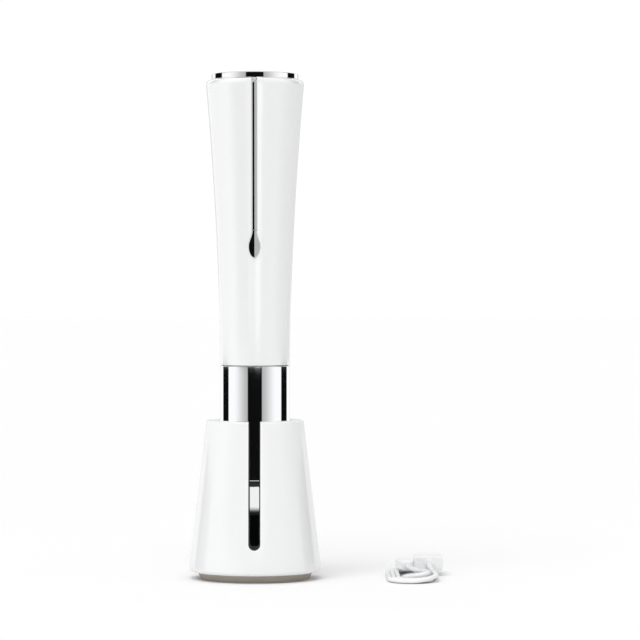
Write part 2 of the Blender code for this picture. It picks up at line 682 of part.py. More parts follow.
def make_casing(opener):
    low_r = MOUTH_R - MOUTH_TAPER
    solid("mouth_guide", turned([
        (NECK_R, MOUTH_Z + MOUTH_EDGE),
        (NECK_R + MOUTH_EDGE / 2, MOUTH_Z),
        (low_r - MOUTH_EDGE / 2, MOUTH_Z),
        (low_r, MOUTH_Z + MOUTH_EDGE),
        (MOUTH_R - MOUTH_ROUND, MOUTH_Z + MOUTH_ROUND_H),
        (MOUTH_R, MOUTH_TOP_Z - MOUTH_EDGE),
        (MOUTH_R - MOUTH_EDGE, MOUTH_TOP_Z),
        (SPIGOT_R, MOUTH_TOP_Z),
        (SPIGOT_R, COLLAR_Z + SPIGOT_H),
        (NECK_R, COLLAR_Z + SPIGOT_H),
    ]), "chrome", opener)
    gasket = tube(SPIGOT_R + GAP, MOUTH_R - 0.2 * MM, MOUTH_TOP_Z + GAP, COLLAR_Z - GAP)
    solid("collar_gasket", gasket, "black_satin", opener)

    edge = 0.4 * MM
    collar_in = COLLAR_R - COLLAR_WALL
    collar_top = COLLAR_Z + COLLAR_H
    collar = turned([
        (collar_in, COLLAR_Z),
        (COLLAR_R - edge, COLLAR_Z),
        (COLLAR_R, COLLAR_Z + edge),
        (COLLAR_R, collar_top - edge),
        (COLLAR_R - edge, collar_top),
        (collar_in, collar_top),
    ])
    solid("collar", collar, "chrome", opener)

    upper_r = COLLAR_R - BODY_WALL - GAP
    sleeve = solid("neck_sleeve", turned([
        (SPIGOT_R + GAP, COLLAR_Z + GAP),
        (NECK_SLEEVE_R, COLLAR_Z + GAP),
        (NECK_SLEEVE_R, BODY_Z - GAP),
        (upper_r, BODY_Z - GAP),
        (upper_r, END_WALL_Z + NECK_RIM),
        (HOUSING_R + GAP, END_WALL_Z + NECK_RIM),
        (HOUSING_R + GAP, END_WALL_Z),
        (SPINDLE_R + 2 * GAP, END_WALL_Z),
        (SPINDLE_R + 2 * GAP, CORK_TOP_Z),
        (CORK_R, CORK_TOP_Z),
        (CORK_R, STOP_Z + 1.5 * MM),
        (CORK_R + CHAMFER, STOP_Z),
        (NECK_R + GAP, STOP_Z),
        (NECK_R + GAP, COLLAR_Z + SPIGOT_H + GAP),
        (SPIGOT_R + GAP, COLLAR_Z + SPIGOT_H + GAP),
    ]), "natural_nylon", opener)
    for number, angle in enumerate(GEARBOX_SCREW_ANGLES, 1):
        place = polar(GEARBOX_SCREW_CIRCLE, angle)
        hole = rod(SCREW_HOLE_R, CORK_TOP_Z + GAP, END_WALL_Z + GAP, place, SCREW_FACETS)
        cut(sleeve, hole, f"hole_{number}")

    outside = body_front(12, BODY_Z)
    lip_low = SEAT_Z + 2.0 * MM
    inside = [(BODY_MOUTH_R, BODY_TOP_Z), (BODY_MOUTH_R, lip_low)]
    steps = 8
    inner_top = lip_low - 2.0 * MM
    for i in range(steps + 1):
        z = inner_top + (BODY_Z - inner_top) * i / steps
        inside.append((body_inner_radius(z), z))
    body = solid("body_shell", turned(outside + inside), "white_gloss", opener)
    groove = strip_along(trim_path(GAP, CAP_LIP + GAP), TRIM_W / 2 + GAP, TRIM_DEEP + GAP, 3 * MM)
    cut(body, groove, "groove")
    hole = prism(drop_outline(grow=GAP), COLLAR_R - 8 * MM, COLLAR_R + BODY_FLARE)
    cut(body, facing_y(hole), "button_hole")
    cut(body, port_shape(GAP, 0, 8 * MM), "port")

    skirt_r = BODY_MOUTH_R - GAP
    skirt_low = CAP_Z - CAP_SKIRT_H
    top = [(share * CAP_R, dome_z(share)) for share in (0, 0.35, 0.6, 0.8, 0.93, 1)]
    under_r = skirt_r - CAP_WALL
    under = [(share * under_r, dome_z(share) - CAP_WALL) for share in (0.85, 0.5, 0)]
    edge = [(CAP_R, CAP_Z), (skirt_r, CAP_Z), (skirt_r, skirt_low), (under_r, skirt_low)]
    solid("top_cap", turned(top + edge + [(under_r, CAP_Z)] + under), "chrome", opener)
    seat_r = skirt_r - CAP_WALL - GAP
    seat_top = SEAT_Z + SEAT_T
    seat = solid("cap_seat", rod(seat_r, SEAT_Z, seat_top, facets=FACETS), "grey_plastic", opener)
    for number, angle in enumerate(POST_ANGLES, 1):
        hole = rod(SCREW_HOLE_R, SEAT_Z - GAP, seat_top + GAP, polar(POST_CIRCLE, angle), SCREW_FACETS)
        cut(seat, hole, f"hole_{number}")
        screw(f"cap_screw_{number}", opener, POST_CIRCLE, angle, seat_top + GAP, up=False)


def dome_z(share):
    """The cap's height at a share of its radius: a shallow dome on an upright edge."""
    return CAP_Z + CAP_EDGE_H + CAP_DOME * (1 - share**2)


def strip_along(path, half_width, inward, outward):
    """A bar of four-cornered sections that follows a (radius, z) path up the front, at x = 0."""
    sections = []
    for i, (radius, z) in enumerate(path):
        before = path[max(i - 1, 0)]
        after = path[min(i + 1, len(path) - 1)]
        rise_r, rise_z = after[0] - before[0], after[1] - before[1]
        length = math.hypot(rise_r, rise_z)
        out_r, out_z = rise_z / length, -rise_r / length
        corners = []
        for x, out in (
            (-half_width, -inward), (half_width, -inward), (half_width, outward), (-half_width, outward)
        ):
            corners.append((x, -(radius + out * out_r), z + out * out_z))
        sections.append(corners)
    return loft(sections)


def trim_path(extra_low=0.0, extra_high=0.0):
    path = body_front(10, TRIM_Z - extra_low)
    return path + [(CAP_R + GAP - extra_high, BODY_TOP_Z)]


def make_trim(opener):
    strip = strip_along(trim_path(), TRIM_W / 2, TRIM_DEEP, TRIM_PROUD)
    solid("trim_strip", strip, "chrome", opener)


def drop_flange_y():
    """The inner face of the button's flange, which clears the body's curved inside."""
    half = DROP_W / 2 + DROP_FLANGE
    inside_r = body_inner_radius(DROP_CENTRE_Z - DROP_BELLY - DROP_FLANGE)
    return -math.sqrt((inside_r - GAP) ** 2 - half**2) + DROP_FLANGE


def make_button(button, switch_face):
    """The drop's face, its flange behind the wall, and the stem that reaches the switch."""
    flange_y = drop_flange_y()
    outer_y = body_radius(DROP_CENTRE_Z) + DROP_PROUD
    face = facing_y(prism(drop_outline(), -flange_y, outer_y))
    for corner in face.verts:
        if corner.co.y < -outer_y + EASE:
            corner.co.y = -body_radius(corner.co.z) - DROP_PROUD
    bmesh.ops.translate(face, vec=-button.location, verts=face.verts)
    drop = solid("drop_button", face, "chrome", button)
    flange = facing_y(prism(drop_outline(grow=DROP_FLANGE), -flange_y, -flange_y + DROP_FLANGE))
    add(drop, flange, "flange")
    round_stem = arc(0, DROP_CENTRE_Z, DROP_STEM_R, 0, 330, 11)
    stem = facing_y(prism(round_stem, -switch_face + GAP, -flange_y + 0.2 * MM))
    add(drop, stem, "stem")


def port_shape(grow, from_y, deep):
    """The charging socket's outline as a bar along +Y, from inside the body to beyond it."""
    half_w = PORT_W / 2 + grow
    half_h = PORT_H / 2 + grow
    inner = body_inner_radius(PORT_Z) - 3 * MM + from_y
    return box((-half_w, inner, PORT_Z - half_h), (half_w, inner + deep, PORT_Z + half_h))


# ---------------------------------------------------------------- gearbox and motor


def make_gearbox(opener):
    tip_r = MODULE * (RING_TEETH / 2 - ADDENDUM)
    bush_r = SPINDLE_R + GAP + BUSH_T
    teeth_low = GEAR_Z - 0.5 * MM
    teeth_top = GEAR_TOP_Z + 0.5 * MM
    flange_low = HOUSING_TOP_Z - HOUSING_FLANGE
    housing = solid("gearbox_housing", turned([
        (bush_r + GAP, HOUSING_Z),
        (HOUSING_R, HOUSING_Z),
        (HOUSING_R, flange_low),
        (FLANGE_R, flange_low),
        (FLANGE_R, HOUSING_TOP_Z),
        (RING_ROOT_R + 0.2 * MM, HOUSING_TOP_Z),
        (RING_ROOT_R + 0.2 * MM, teeth_top),
        (tip_r, teeth_top),
        (tip_r, teeth_low),
        (RING_ROOT_R + 0.2 * MM, teeth_low),
        (RING_ROOT_R + 0.2 * MM, HOUSING_IN_Z),
        (bush_r + GAP, HOUSING_IN_Z),
    ]), "grey_plastic", opener)
    spaces = prism(gear_outline(RING_TEETH, 0, internal=True), teeth_low - 0.2 * MM, teeth_top + 0.2 * MM)
    cut(housing, spaces, "tooth_spaces")
    for number, angle in enumerate(GEARBOX_SCREW_ANGLES, 1):
        place = polar(GEARBOX_SCREW_CIRCLE, angle)
        hole = rod(SCREW_HOLE_R, HOUSING_Z - GAP, HOUSING_IN_Z + GAP, place, SCREW_FACETS)
        cut(housing, hole, f"hole_{number}")
        screw(f"gearbox_screw_{number}", opener, GEARBOX_SCREW_CIRCLE, angle, HOUSING_IN_Z + GAP, up=False)

    bush = turned([
        (SPINDLE_R + GAP, HOUSING_Z),
        (bush_r, HOUSING_Z),
        (bush_r, HOUSING_IN_Z + GAP),
        (BUSH_FLANGE_R, HOUSING_IN_Z + GAP),
        (BUSH_FLANGE_R, CARRIER_Z - GAP),
        (SPINDLE_R + GAP, CARRIER_Z - GAP),
    ], SMALL_FACETS)
    solid("spindle_bush", bush, "bronze", opener)

    disc = tube(MOTOR_BOSS_R + GAP, FLANGE_R, PLATE_Z, PLATE_Z + PLATE_T, 36)
    plate = solid("motor_plate", disc, "steel", opener)
    for number, angle in enumerate(PLATE_SCREW_ANGLES, 1):
        place = polar(PLATE_SCREW_CIRCLE, angle)
        hole = rod(SCREW_HOLE_R, PLATE_Z - GAP, PLATE_Z + PLATE_T + GAP, place, SCREW_FACETS)
        cut(plate, hole, f"hole_{number}")
        low = HOUSING_TOP_Z - HOUSING_FLANGE - GAP
        cut(housing, rod(SCREW_HOLE_R, low, HOUSING_TOP_Z + GAP, place, SCREW_FACETS), f"pilot_{number}")
        head_z = PLATE_Z + PLATE_T + GAP
        screw(f"plate_screw_{number}", opener, PLATE_SCREW_CIRCLE, angle, head_z, up=False, length=4.5 * MM)
    for number, angle in enumerate(MOTOR_SCREW_ANGLES, 1):
        place = polar(MOTOR_SCREW_CIRCLE, angle)
        hole = rod(SCREW_HOLE_R, PLATE_Z - GAP, PLATE_Z + PLATE_T + GAP, place, SCREW_FACETS)
        cut(plate, hole, f"motor_hole_{number}")
        name = f"motor_screw_{number}"
        screw(name, opener, MOTOR_SCREW_CIRCLE, angle, PLATE_Z - GAP, up=True, length=3.6 * MM)


def make_motor(opener):
    can_in = MOTOR_R - MOTOR_WALL
    can = solid("motor_can", turned([
        (SHAFT_R + GAP, PLATE_Z),
        (MOTOR_BOSS_R, PLATE_Z),
        (MOTOR_BOSS_R, MOTOR_Z),
        (MOTOR_R, MOTOR_Z),
        (MOTOR_R, MOTOR_TOP_Z),
        (can_in, MOTOR_TOP_Z),
        (can_in, MOTOR_Z + MOTOR_WALL),
        (SHAFT_R + GAP, MOTOR_Z + MOTOR_WALL),
    ], 36), "steel", opener)
    for number, angle in enumerate(MOTOR_SCREW_ANGLES, 1):
        place = polar(MOTOR_SCREW_CIRCLE, angle)
        hole = rod(SCREW_HOLE_R, MOTOR_Z - GAP, MOTOR_Z + MOTOR_WALL + GAP, place, SCREW_FACETS)
        cut(can, hole, f"hole_{number}")
    magnet_r = can_in - GAP
    magnet_low = MOTOR_Z + MOTOR_WALL + 4.5 * MM
    magnet_top = MOTOR_TOP_Z - 5.0 * MM
    magnet = tube(magnet_r - MAGNET_T, magnet_r, magnet_low, magnet_top, SMALL_FACETS)
    solid("motor_magnet", magnet, "magnet", opener)
    cap = turned([
        (SHAFT_R + GAP, MOTOR_TOP_Z - 2.0 * MM),
        (can_in - GAP, MOTOR_TOP_Z - 2.0 * MM),
        (can_in - GAP, MOTOR_TOP_Z + GAP),
        (MOTOR_R, MOTOR_TOP_Z + GAP),
        (MOTOR_R, MOTOR_CAP_TOP_Z - CHAMFER),
        (MOTOR_R - CHAMFER, MOTOR_CAP_TOP_Z),
        (SHAFT_R + GAP, MOTOR_CAP_TOP_Z),
    ], 36)
    solid("motor_end_cap", cap, "black_satin", opener)
    return magnet_r - MAGNET_T, magnet_low, magnet_top


def make_rotor(rotor, magnet_in, low, top):
    """The motor's shaft with its armature and the sun gear, on its own axis."""
    base = rotor.location.z
    shaft = rod(SHAFT_R, GEAR_Z - base, MOTOR_CAP_TOP_Z + 0.8 * MM - base, facets=SCREW_FACETS)
    solid("motor_shaft", shaft, "steel", rotor)
    armature_r = magnet_in - 2 * GAP
    armature = tube(SHAFT_R + GAP, armature_r, low - base + 1 * MM, top - base - 1 * MM, SMALL_FACETS)
    solid("armature", armature, "copper", rotor)
    teeth = prism(gear_outline(SUN_TEETH, sun_phase()), GEAR_Z - base, GEAR_TOP_Z - base)
    sun = solid("sun_gear", teeth, "bronze", rotor)
    bore = rod(SHAFT_R + GAP, GEAR_Z - GAP, GEAR_TOP_Z + GAP, facets=SCREW_FACETS)
    cut(sun, bore, "bore")


def make_worm_drive(drive):
    """What the planets turn: the carrier with its pins, the spindle and the worm."""
    base = drive.location.z
    carrier_r = ORBIT_R + PIN_R + CARRIER_RIM
    disc = rod(carrier_r, CARRIER_Z - base, CARRIER_Z + CARRIER_T - base, facets=36)
    carrier = solid("planet_carrier", disc, "steel", drive)
    cut(carrier, rod(SPINDLE_STUB_R + GAP, CARRIER_Z - GAP, CARRIER_Z + CARRIER_T + GAP), "bore")
    for number, angle in enumerate(SPOKE_ANGLES, 1):
        place = polar(ORBIT_R, angle)
        hole = rod(PIN_HOLE_R, CARRIER_Z - GAP, CARRIER_Z + CARRIER_T + GAP, place, SCREW_FACETS)
        cut(carrier, hole, f"hole_{number}")
        pin = rod(PIN_R, CARRIER_Z - base, PIN_TOP_Z - base, place, SCREW_FACETS)
        solid(f"planet_pin_{number}", pin, "steel", drive)

    hub_top = CORK_TOP_Z - 2 * GAP
    hub_low = hub_top - WORM_HUB_H
    spindle = turned([
        (0, hub_low + 2.5 * MM - base),
        (SPINDLE_TIP_R, hub_low + 2.5 * MM - base),
        (SPINDLE_TIP_R, CORK_TOP_Z - base),
        (SPINDLE_R, CORK_TOP_Z - base),
        (SPINDLE_R, CARRIER_Z - GAP - base),
        (SPINDLE_STUB_R, CARRIER_Z - GAP - base),
        (SPINDLE_STUB_R, CARRIER_Z + CARRIER_T - base),
        (0, CARRIER_Z + CARRIER_T - base),
    ], SMALL_FACETS)
    solid("worm_spindle", spindle, "steel", drive)

    hub = solid("worm", turned([
        (0, hub_low - base),
        (WORM_HUB_R - CHAMFER, hub_low - base),
        (WORM_HUB_R, hub_low + CHAMFER - base),
        (WORM_HUB_R, hub_top - base),
        (SPINDLE_TIP_R + GAP, hub_top - base),
        (SPINDLE_TIP_R + GAP, hub_low + 2.2 * MM - base),
        (0, hub_low + 2.2 * MM - base),
    ], SMALL_FACETS), "coated_steel", drive)
    steps = 14
    count = int(WORM_TURNS * steps)
    top = hub_low + 1.0 * MM
    points = []
    radii = []
    for i in range(count + 1):
        turns = i / steps
        angle = -2 * math.pi * turns
        points.append((*polar(WORM_R, angle), top - WORM_PITCH * turns))
        left = WORM_TURNS - turns
        radii.append(WORM_WIRE_R * min(1.0, 0.12 + 1.1 * left))
    add(hub, sweep(points, radii, 7), "coil")


def make_planet(planet, number, angle):
    base = planet.parent.location.z + planet.location.z
    outline = gear_outline(PLANET_TEETH, planet_phase(angle))
    teeth = prism(outline, GEAR_Z - base, GEAR_TOP_Z - base)
    gear = solid(f"planet_gear_{number}", teeth, "natural_nylon", planet)
    bore = rod(PIN_HOLE_R, GEAR_Z - GAP, GEAR_TOP_Z + GAP, polar(ORBIT_R, angle), SCREW_FACETS)
    cut(gear, bore, "bore")


# ---------------------------------------------------------------- frame, battery and boards


def make_frame(opener):
    rail_x = MOTOR_R + 1.1 * MM
    rails_low = PLATE_Z + PLATE_T + GAP
    rails_high = TOP_DECK_Z + DECK_T / 2
    deck_r = body_inner_radius(DECK_Z) - GAP
    top_r = body_inner_radius(TOP_DECK_Z) - GAP
    frame = solid("inner_frame", rod(deck_r, DECK_Z, DECK_Z + DECK_T, facets=36), "grey_plastic", opener)
    add(frame, tube(CELL_R + 2 * GAP, top_r, TOP_DECK_Z, TOP_DECK_Z + DECK_T, 36), "top_deck")
    bar_y = BOARD_Y + GAP
    for label, side in (("right", 1), ("left", -1)):
        outer = side * (rail_x + RAIL_T)
        inner = side * rail_x
        low_x, high_x = min(outer, inner), max(outer, inner)
        add(frame, box((low_x, -3 * MM, rails_low), (high_x, 3 * MM, rails_high)), label + "_rail")
        arm = box((low_x, bar_y, BRIDGE_Z - BRIDGE_H / 2), (high_x, 0, BRIDGE_Z + BRIDGE_H / 2))
        add(frame, arm, label + "_arm")
    half = rail_x + RAIL_T
    half_h = BRIDGE_H / 2 - EASE
    bridge = box((-half, bar_y, BRIDGE_Z - half_h), (half, bar_y + BRIDGE_T, BRIDGE_Z + half_h))
    add(frame, bridge, "bridge")
    notch_x = BOARD_W / 2 + GAP
    notch = box((-notch_x, -deck_r - MM, DECK_Z - MM), (notch_x, BOARD_Y + GAP, DECK_Z + DECK_T + MM))
    cut(frame, notch, "board_notch")
    for number, angle in enumerate(POST_ANGLES, 1):
        place = polar(POST_CIRCLE, angle)
        post_low = TOP_DECK_Z + DECK_T / 2
        add(frame, rod(POST_R, post_low, SEAT_Z - GAP, place, SCREW_FACETS), f"post_{number}")
        pilot = rod(SCREW_HOLE_R, SEAT_Z - 5 * MM, SEAT_Z + GAP, place, SCREW_FACETS)
        cut(frame, pilot, f"pilot_{number}")
    return frame


def make_battery(opener):
    cell = turned([
        (0, CELL_Z),
        (CELL_R - 0.6 * MM, CELL_Z),
        (CELL_R, CELL_Z + 0.6 * MM),
        (CELL_R, CELL_TOP_Z - 0.6 * MM),
        (CELL_R - 0.6 * MM, CELL_TOP_Z),
        (CELL_NUB_R, CELL_TOP_Z),
        (CELL_NUB_R, CELL_TOP_Z + CELL_NUB_H),
        (0, CELL_TOP_Z + CELL_NUB_H),
    ], 32)
    solid("battery_cell", cell, "cell_wrap", opener)

    wire = 0.45 * MM
    low = DECK_Z + DECK_T + GAP + wire
    high = CELL_Z - GAP - wire
    steps = 12
    turns = 4
    points = []
    for i in range(steps * turns + 1):
        share = i / (steps * turns)
        angle = 2 * math.pi * turns * share
        points.append((*polar((6.0 - 3.0 * share) * MM, angle), low + (high - low) * share))
    solid("battery_spring", sweep(points, [wire] * len(points), 6), "steel", opener)

    half_x = CELL_R + 3.0 * MM
    contact = box((-half_x, -3.5 * MM, CONTACT_Z), (half_x, 3.5 * MM, CONTACT_Z + CONTACT_T))
    solid("battery_contact", contact, "bronze", opener)


def make_boards(opener, frame):
    front_y = BOARD_Y - BOARD_T
    top = BOARD_LOW_Z + BOARD_L
    panel = box((-BOARD_W / 2, front_y, BOARD_LOW_Z), (BOARD_W / 2, BOARD_Y, top))
    board = solid("main_board", panel, "board_green", opener)
    for number, x in enumerate((-5 * MM, 5 * MM), 1):
        hole = facing_y(prism(arc(x, BRIDGE_Z, SCREW_HOLE_R, 0, 330, 11), -BOARD_Y - 4 * MM, -front_y + MM))
        cut(board, hole, f"hole_{number}")
        pilot = facing_y(prism(arc(x, BRIDGE_Z, SCREW_HOLE_R, 0, 330, 11), -BOARD_Y - 4 * MM, -front_y + MM))
        cut(frame, pilot, f"board_pilot_{number}")
        made = screw(f"board_screw_{number}", opener, 0, 0, 0, up=True, length=2.8 * MM)
        made.rotation_euler = (-math.pi / 2, 0, 0)
        made.location = (x, front_y - GAP, BRIDGE_Z)

    switch_half = SWITCH_HALF
    switch_back = front_y - GAP
    switch_face = drop_flange_y() + DROP_TRAVEL + 1.0 * MM
    switch = solid("tact_switch", box(
        (-switch_half, switch_face, DROP_CENTRE_Z - switch_half),
        (switch_half, switch_back, DROP_CENTRE_Z + switch_half),
    ), "black_satin", opener)
    round_well = arc(0, DROP_CENTRE_Z, DROP_STEM_R + GAP, 0, 330, 11)
    well = facing_y(prism(round_well, -switch_face - DROP_TRAVEL - 0.2 * MM, -switch_face + MM))
    cut(switch, well, "well")

    half_w = PORT_W / 2
    charge_y = body_inner_radius(PORT_Z) - 0.6 * MM
    board_back = charge_y - 12.0 * MM
    charge = box(
        (-half_w - 3 * MM, board_back, CHARGE_BOARD_Z),
        (half_w + 3 * MM, charge_y - 2.0 * MM, CHARGE_BOARD_Z + BOARD_T),
    )
    solid("charge_board", charge, "board_green", opener)
    low = PORT_Z - PORT_H / 2
    high = PORT_Z + PORT_H / 2
    block = box((-half_w, charge_y - 6 * MM, low), (half_w, charge_y, high))
    socket = solid("charging_socket", block, "steel", opener)
    wall = 0.35 * MM
    inner_w = half_w - wall
    mouth = box((-inner_w, charge_y - 5 * MM, low + wall), (inner_w, charge_y + MM, high - wall))
    cut(socket, mouth, "mouth")
    return switch_face


# ---------------------------------------------------------------- charging cable


def stadium(radius, straight, steps=12):
    """An outline of (u, v) points: two straight runs along v and two round folds."""
    right_top = arc(0, straight / 2, radius, 0, 180, steps)
    left_bottom = arc(0, -straight / 2, radius, 180, 360, steps)
    return right_top + left_bottom


def smooth(points, spacing):
    """A smooth curve through the points, sampled about every `spacing`."""
    route = []
    last = len(points) - 1
    for i in range(last):
        before = Vector(points[max(i - 1, 0)])
        here = Vector(points[i])
        after = Vector(points[i + 1])
        beyond = Vector(points[min(i + 2, last)])
        count = max(1, round((after - here).length / spacing))
        for k in range(count):
            t = k / count
            route.append(0.5 * (
                2 * here + (after - before) * t
                + (2 * before - 5 * here + 4 * after - beyond) * t**2
                + (3 * here - before - 3 * after + beyond) * t**3
            ))
    route.append(Vector(points[-1]))
    return route


def cord(name, points, cable):
    """A plain tube along the points, which are in the cable's own (u, v, z) frame."""
    curve = bpy.data.curves.new(name, "CURVE")
    curve.dimensions = "3D"
    curve.bevel_depth = CORD_D / 2
    curve.bevel_resolution = 2
    curve.use_fill_caps = True
    route = smooth(points, 2.4 * CORD_D)
    spline = curve.splines.new("POLY")
    spline.points.add(len(route) - 1)
    for point, place in zip(spline.points, route):
        point.co = (*place, 1)
    return link(name, curve, "white_cable", cable)


def make_cable(cable):
    width = (HANK_TURNS - 1) * CORD_D + CORD_D
    coil_r = HANK_R + CORD_D / 2
    hank = prism(stadium(coil_r, HANK_STRAIGHT), CORD_LIFT, COIL_TOP)
    coil = solid("cable_coil", hank, "white_cable", cable)
    world = Matrix.Translation(cable.location)

    def placed(shape):
        bmesh.ops.transform(shape, matrix=world, verts=shape.verts)
        return shape

    hole = prism(stadium(coil_r - width, HANK_STRAIGHT), 0, COIL_TOP + MM)
    cut(coil, placed(hole), "hole")
    bar_u = HANK_R - 0.5 * CORD_D
    bar = box(
        (bar_u - CORD_D / 2, -HANK_STRAIGHT / 2 - 4 * MM, COIL_TOP - 0.2 * MM),
        (bar_u + CORD_D / 2, BAR_TOP_V, LAYER_2 + CORD_D / 2),
    )
    add(coil, placed(bar), "upper_turn")

    relief_v = PLUG_REAR_V - RELIEF_L
    lead = [
        (USB_A_U, relief_v - GAP, USB_A_Z),
        (USB_A_U + EASE, relief_v - 3.0 * MM, USB_A_Z - 0.3 * MM),
        (USB_A_U + 0.9 * MM, relief_v - 6.5 * MM, (USB_A_Z + LAYER_2) / 2),
        (bar_u - 0.3 * MM, BAR_TOP_V + 2.6 * MM, LAYER_2 + 0.3 * MM),
        (bar_u, BAR_TOP_V + GAP, LAYER_2),
    ]
    cord("usb_a_lead", lead, cable)

    tilt = Matrix.Rotation(MICRO_TILT, 4, "Z")
    rear = Vector((MICRO_U, PLUG_REAR_V, MICRO_Z))
    rear_end = rear + tilt @ Vector((0, -RELIEF_L - GAP, 0))
    loop = [(u * MM, v * MM, z * MM) for u, v, z in INNER_LOOP] + [tuple(rear_end)]
    cord("micro_usb_lead", loop, cable)

    def plug_body(name, rear_w, front_w, length, thick, middle, turn):
        """A plug's moulded body with its short strain relief, from its rear face along +v."""
        relief_w = CORD_D + 2.0 * MM
        edge = 0.8 * MM

        def section(w, t, v):
            corner = min(edge, 0.3 * t)
            return [
                (-w / 2 + corner, v, -t / 2), (w / 2 - corner, v, -t / 2),
                (w / 2, v, -t / 2 + corner), (w / 2, v, t / 2 - corner),
                (w / 2 - corner, v, t / 2), (-w / 2 + corner, v, t / 2),
                (-w / 2, v, t / 2 - corner), (-w / 2, v, -t / 2 + corner),
            ]

        relief_t = min(relief_w, 0.7 * thick)
        shape = loft([
            section(relief_w - 0.6 * MM, relief_t - 0.5 * MM, -RELIEF_L),
            section(relief_w, relief_t, -0.01 * MM),
            section(rear_w - 0.6 * MM, thick - 0.6 * MM, 0),
            section(rear_w, thick, 0.5 * MM),
            section(front_w, thick, length - 0.5 * MM),
            section(front_w - 0.6 * MM, thick - 0.6 * MM, length),
        ])
        bmesh.ops.transform(shape, matrix=Matrix.Translation(middle) @ turn, verts=shape.verts)
        return solid(name, shape, "white_cable", cable)

    def connector(name, w, t, start, out, middle, turn, wall=0.3 * MM):
        """A plug's steel shell: a flat tube with its insulator left in its rear half."""
        shape = box((-w / 2, start + GAP, -t / 2), (w / 2, start + out, t / 2))
        bmesh.ops.transform(shape, matrix=Matrix.Translation(middle) @ turn, verts=shape.verts)
        made = solid(name, shape, "steel", cable)
        inner_w, inner_t = w / 2 - wall, t / 2 - wall
        mouth = box((-inner_w, start + out * 0.35, -inner_t), (inner_w, start + out + MM, inner_t))
        bmesh.ops.transform(mouth, matrix=Matrix.Translation(middle) @ turn, verts=mouth.verts)
        cut(made, placed(mouth), "mouth")

    usb_a_rear = Vector((USB_A_U, PLUG_REAR_V, USB_A_Z))
    level = Matrix.Identity(4)
    w, length, thick = USB_A_BODY
    plug_body("usb_a_body", w, w, length, thick, usb_a_rear, level)
    connector("usb_a_shell", USB_A_W, USB_A_T, length, USB_A_OUT, usb_a_rear, level)
    w, length, thick = MICRO_BODY
    plug_body("micro_usb_body", MICRO_BODY_REAR, w, length, thick, rear, tilt)
    connector("micro_usb_shell", MICRO_W, MICRO_T, length, MICRO_OUT, rear, tilt)

    side = coil_r + FILM_GAP
    under = CORD_LIFT - FILM_GAP
    low_top = LAYER_2 + CORD_D / 2 + FILM_GAP
    high_top = USB_A_Z + CORD_D / 2 + FILM_GAP

    def band(grow, from_v, to_v):
        return loft([
            [(-side - grow, v, under - grow), (side + grow, v, under - grow),
             (side + grow, v, top + grow), (-side - grow, v, top + grow)]
            for v, top in ((from_v, low_top), (to_v, high_top))
        ])

    film = solid("film_band", band(FILM_T, FILM_FROM, FILM_TO), "clear_film", cable)
    cut(film, placed(band(0, FILM_FROM - MM, FILM_TO + MM)), "inside")


# ---------------------------------------------------------------- assembly


def main():
    clear_scene()
    make_materials()
    root = pivot("stand", (0, 0, 0))
    make_stand(root)
    opener = pivot("opener", (0, 0, 0), root)
    make_casing(opener)
    make_trim(opener)
    make_gearbox(opener)
    magnet_in, magnet_low, magnet_top = make_motor(opener)
    rotor = pivot("motor_rotor", (0, 0, GEAR_Z), opener)
    make_rotor(rotor, magnet_in, magnet_low, magnet_top)
    drive = pivot("worm_drive", (0, 0, CARRIER_Z), opener)
    make_worm_drive(drive)
    for number, angle in enumerate(SPOKE_ANGLES, 1):
        planet = pivot(f"planet_{number}", (*polar(ORBIT_R, angle), GEAR_Z - CARRIER_Z), drive)
        make_planet(planet, number, angle)
    frame = make_frame(opener)
    make_battery(opener)
    switch_face = make_boards(opener, frame)
    button = pivot("drop_button_axis", (0, -body_radius(DROP_CENTRE_Z), DROP_CENTRE_Z), opener)
    make_button(button, switch_face)
    cable = pivot("charging_cable", (CABLE_X, CABLE_Y, 0), root)
    make_cable(cable)


main()
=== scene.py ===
"""Looks for the electric wine opener in its stand: shells, mirror trim, cable and finishes."""

import json
import math

import bmesh
import bpy
from mathutils import Matrix, Vector


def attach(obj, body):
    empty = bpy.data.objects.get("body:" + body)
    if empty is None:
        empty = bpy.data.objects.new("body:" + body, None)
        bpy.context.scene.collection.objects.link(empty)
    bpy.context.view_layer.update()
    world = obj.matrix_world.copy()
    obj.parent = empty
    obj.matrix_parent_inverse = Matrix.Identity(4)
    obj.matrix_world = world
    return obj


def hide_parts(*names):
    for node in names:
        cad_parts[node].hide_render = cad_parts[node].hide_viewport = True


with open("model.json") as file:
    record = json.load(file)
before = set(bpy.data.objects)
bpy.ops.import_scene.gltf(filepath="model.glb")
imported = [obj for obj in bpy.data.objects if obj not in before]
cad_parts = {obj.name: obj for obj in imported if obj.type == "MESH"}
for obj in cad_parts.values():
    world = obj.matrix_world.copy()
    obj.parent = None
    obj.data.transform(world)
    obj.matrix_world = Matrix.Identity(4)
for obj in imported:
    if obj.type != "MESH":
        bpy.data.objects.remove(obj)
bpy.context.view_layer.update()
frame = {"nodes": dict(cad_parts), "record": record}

MM = 0.001

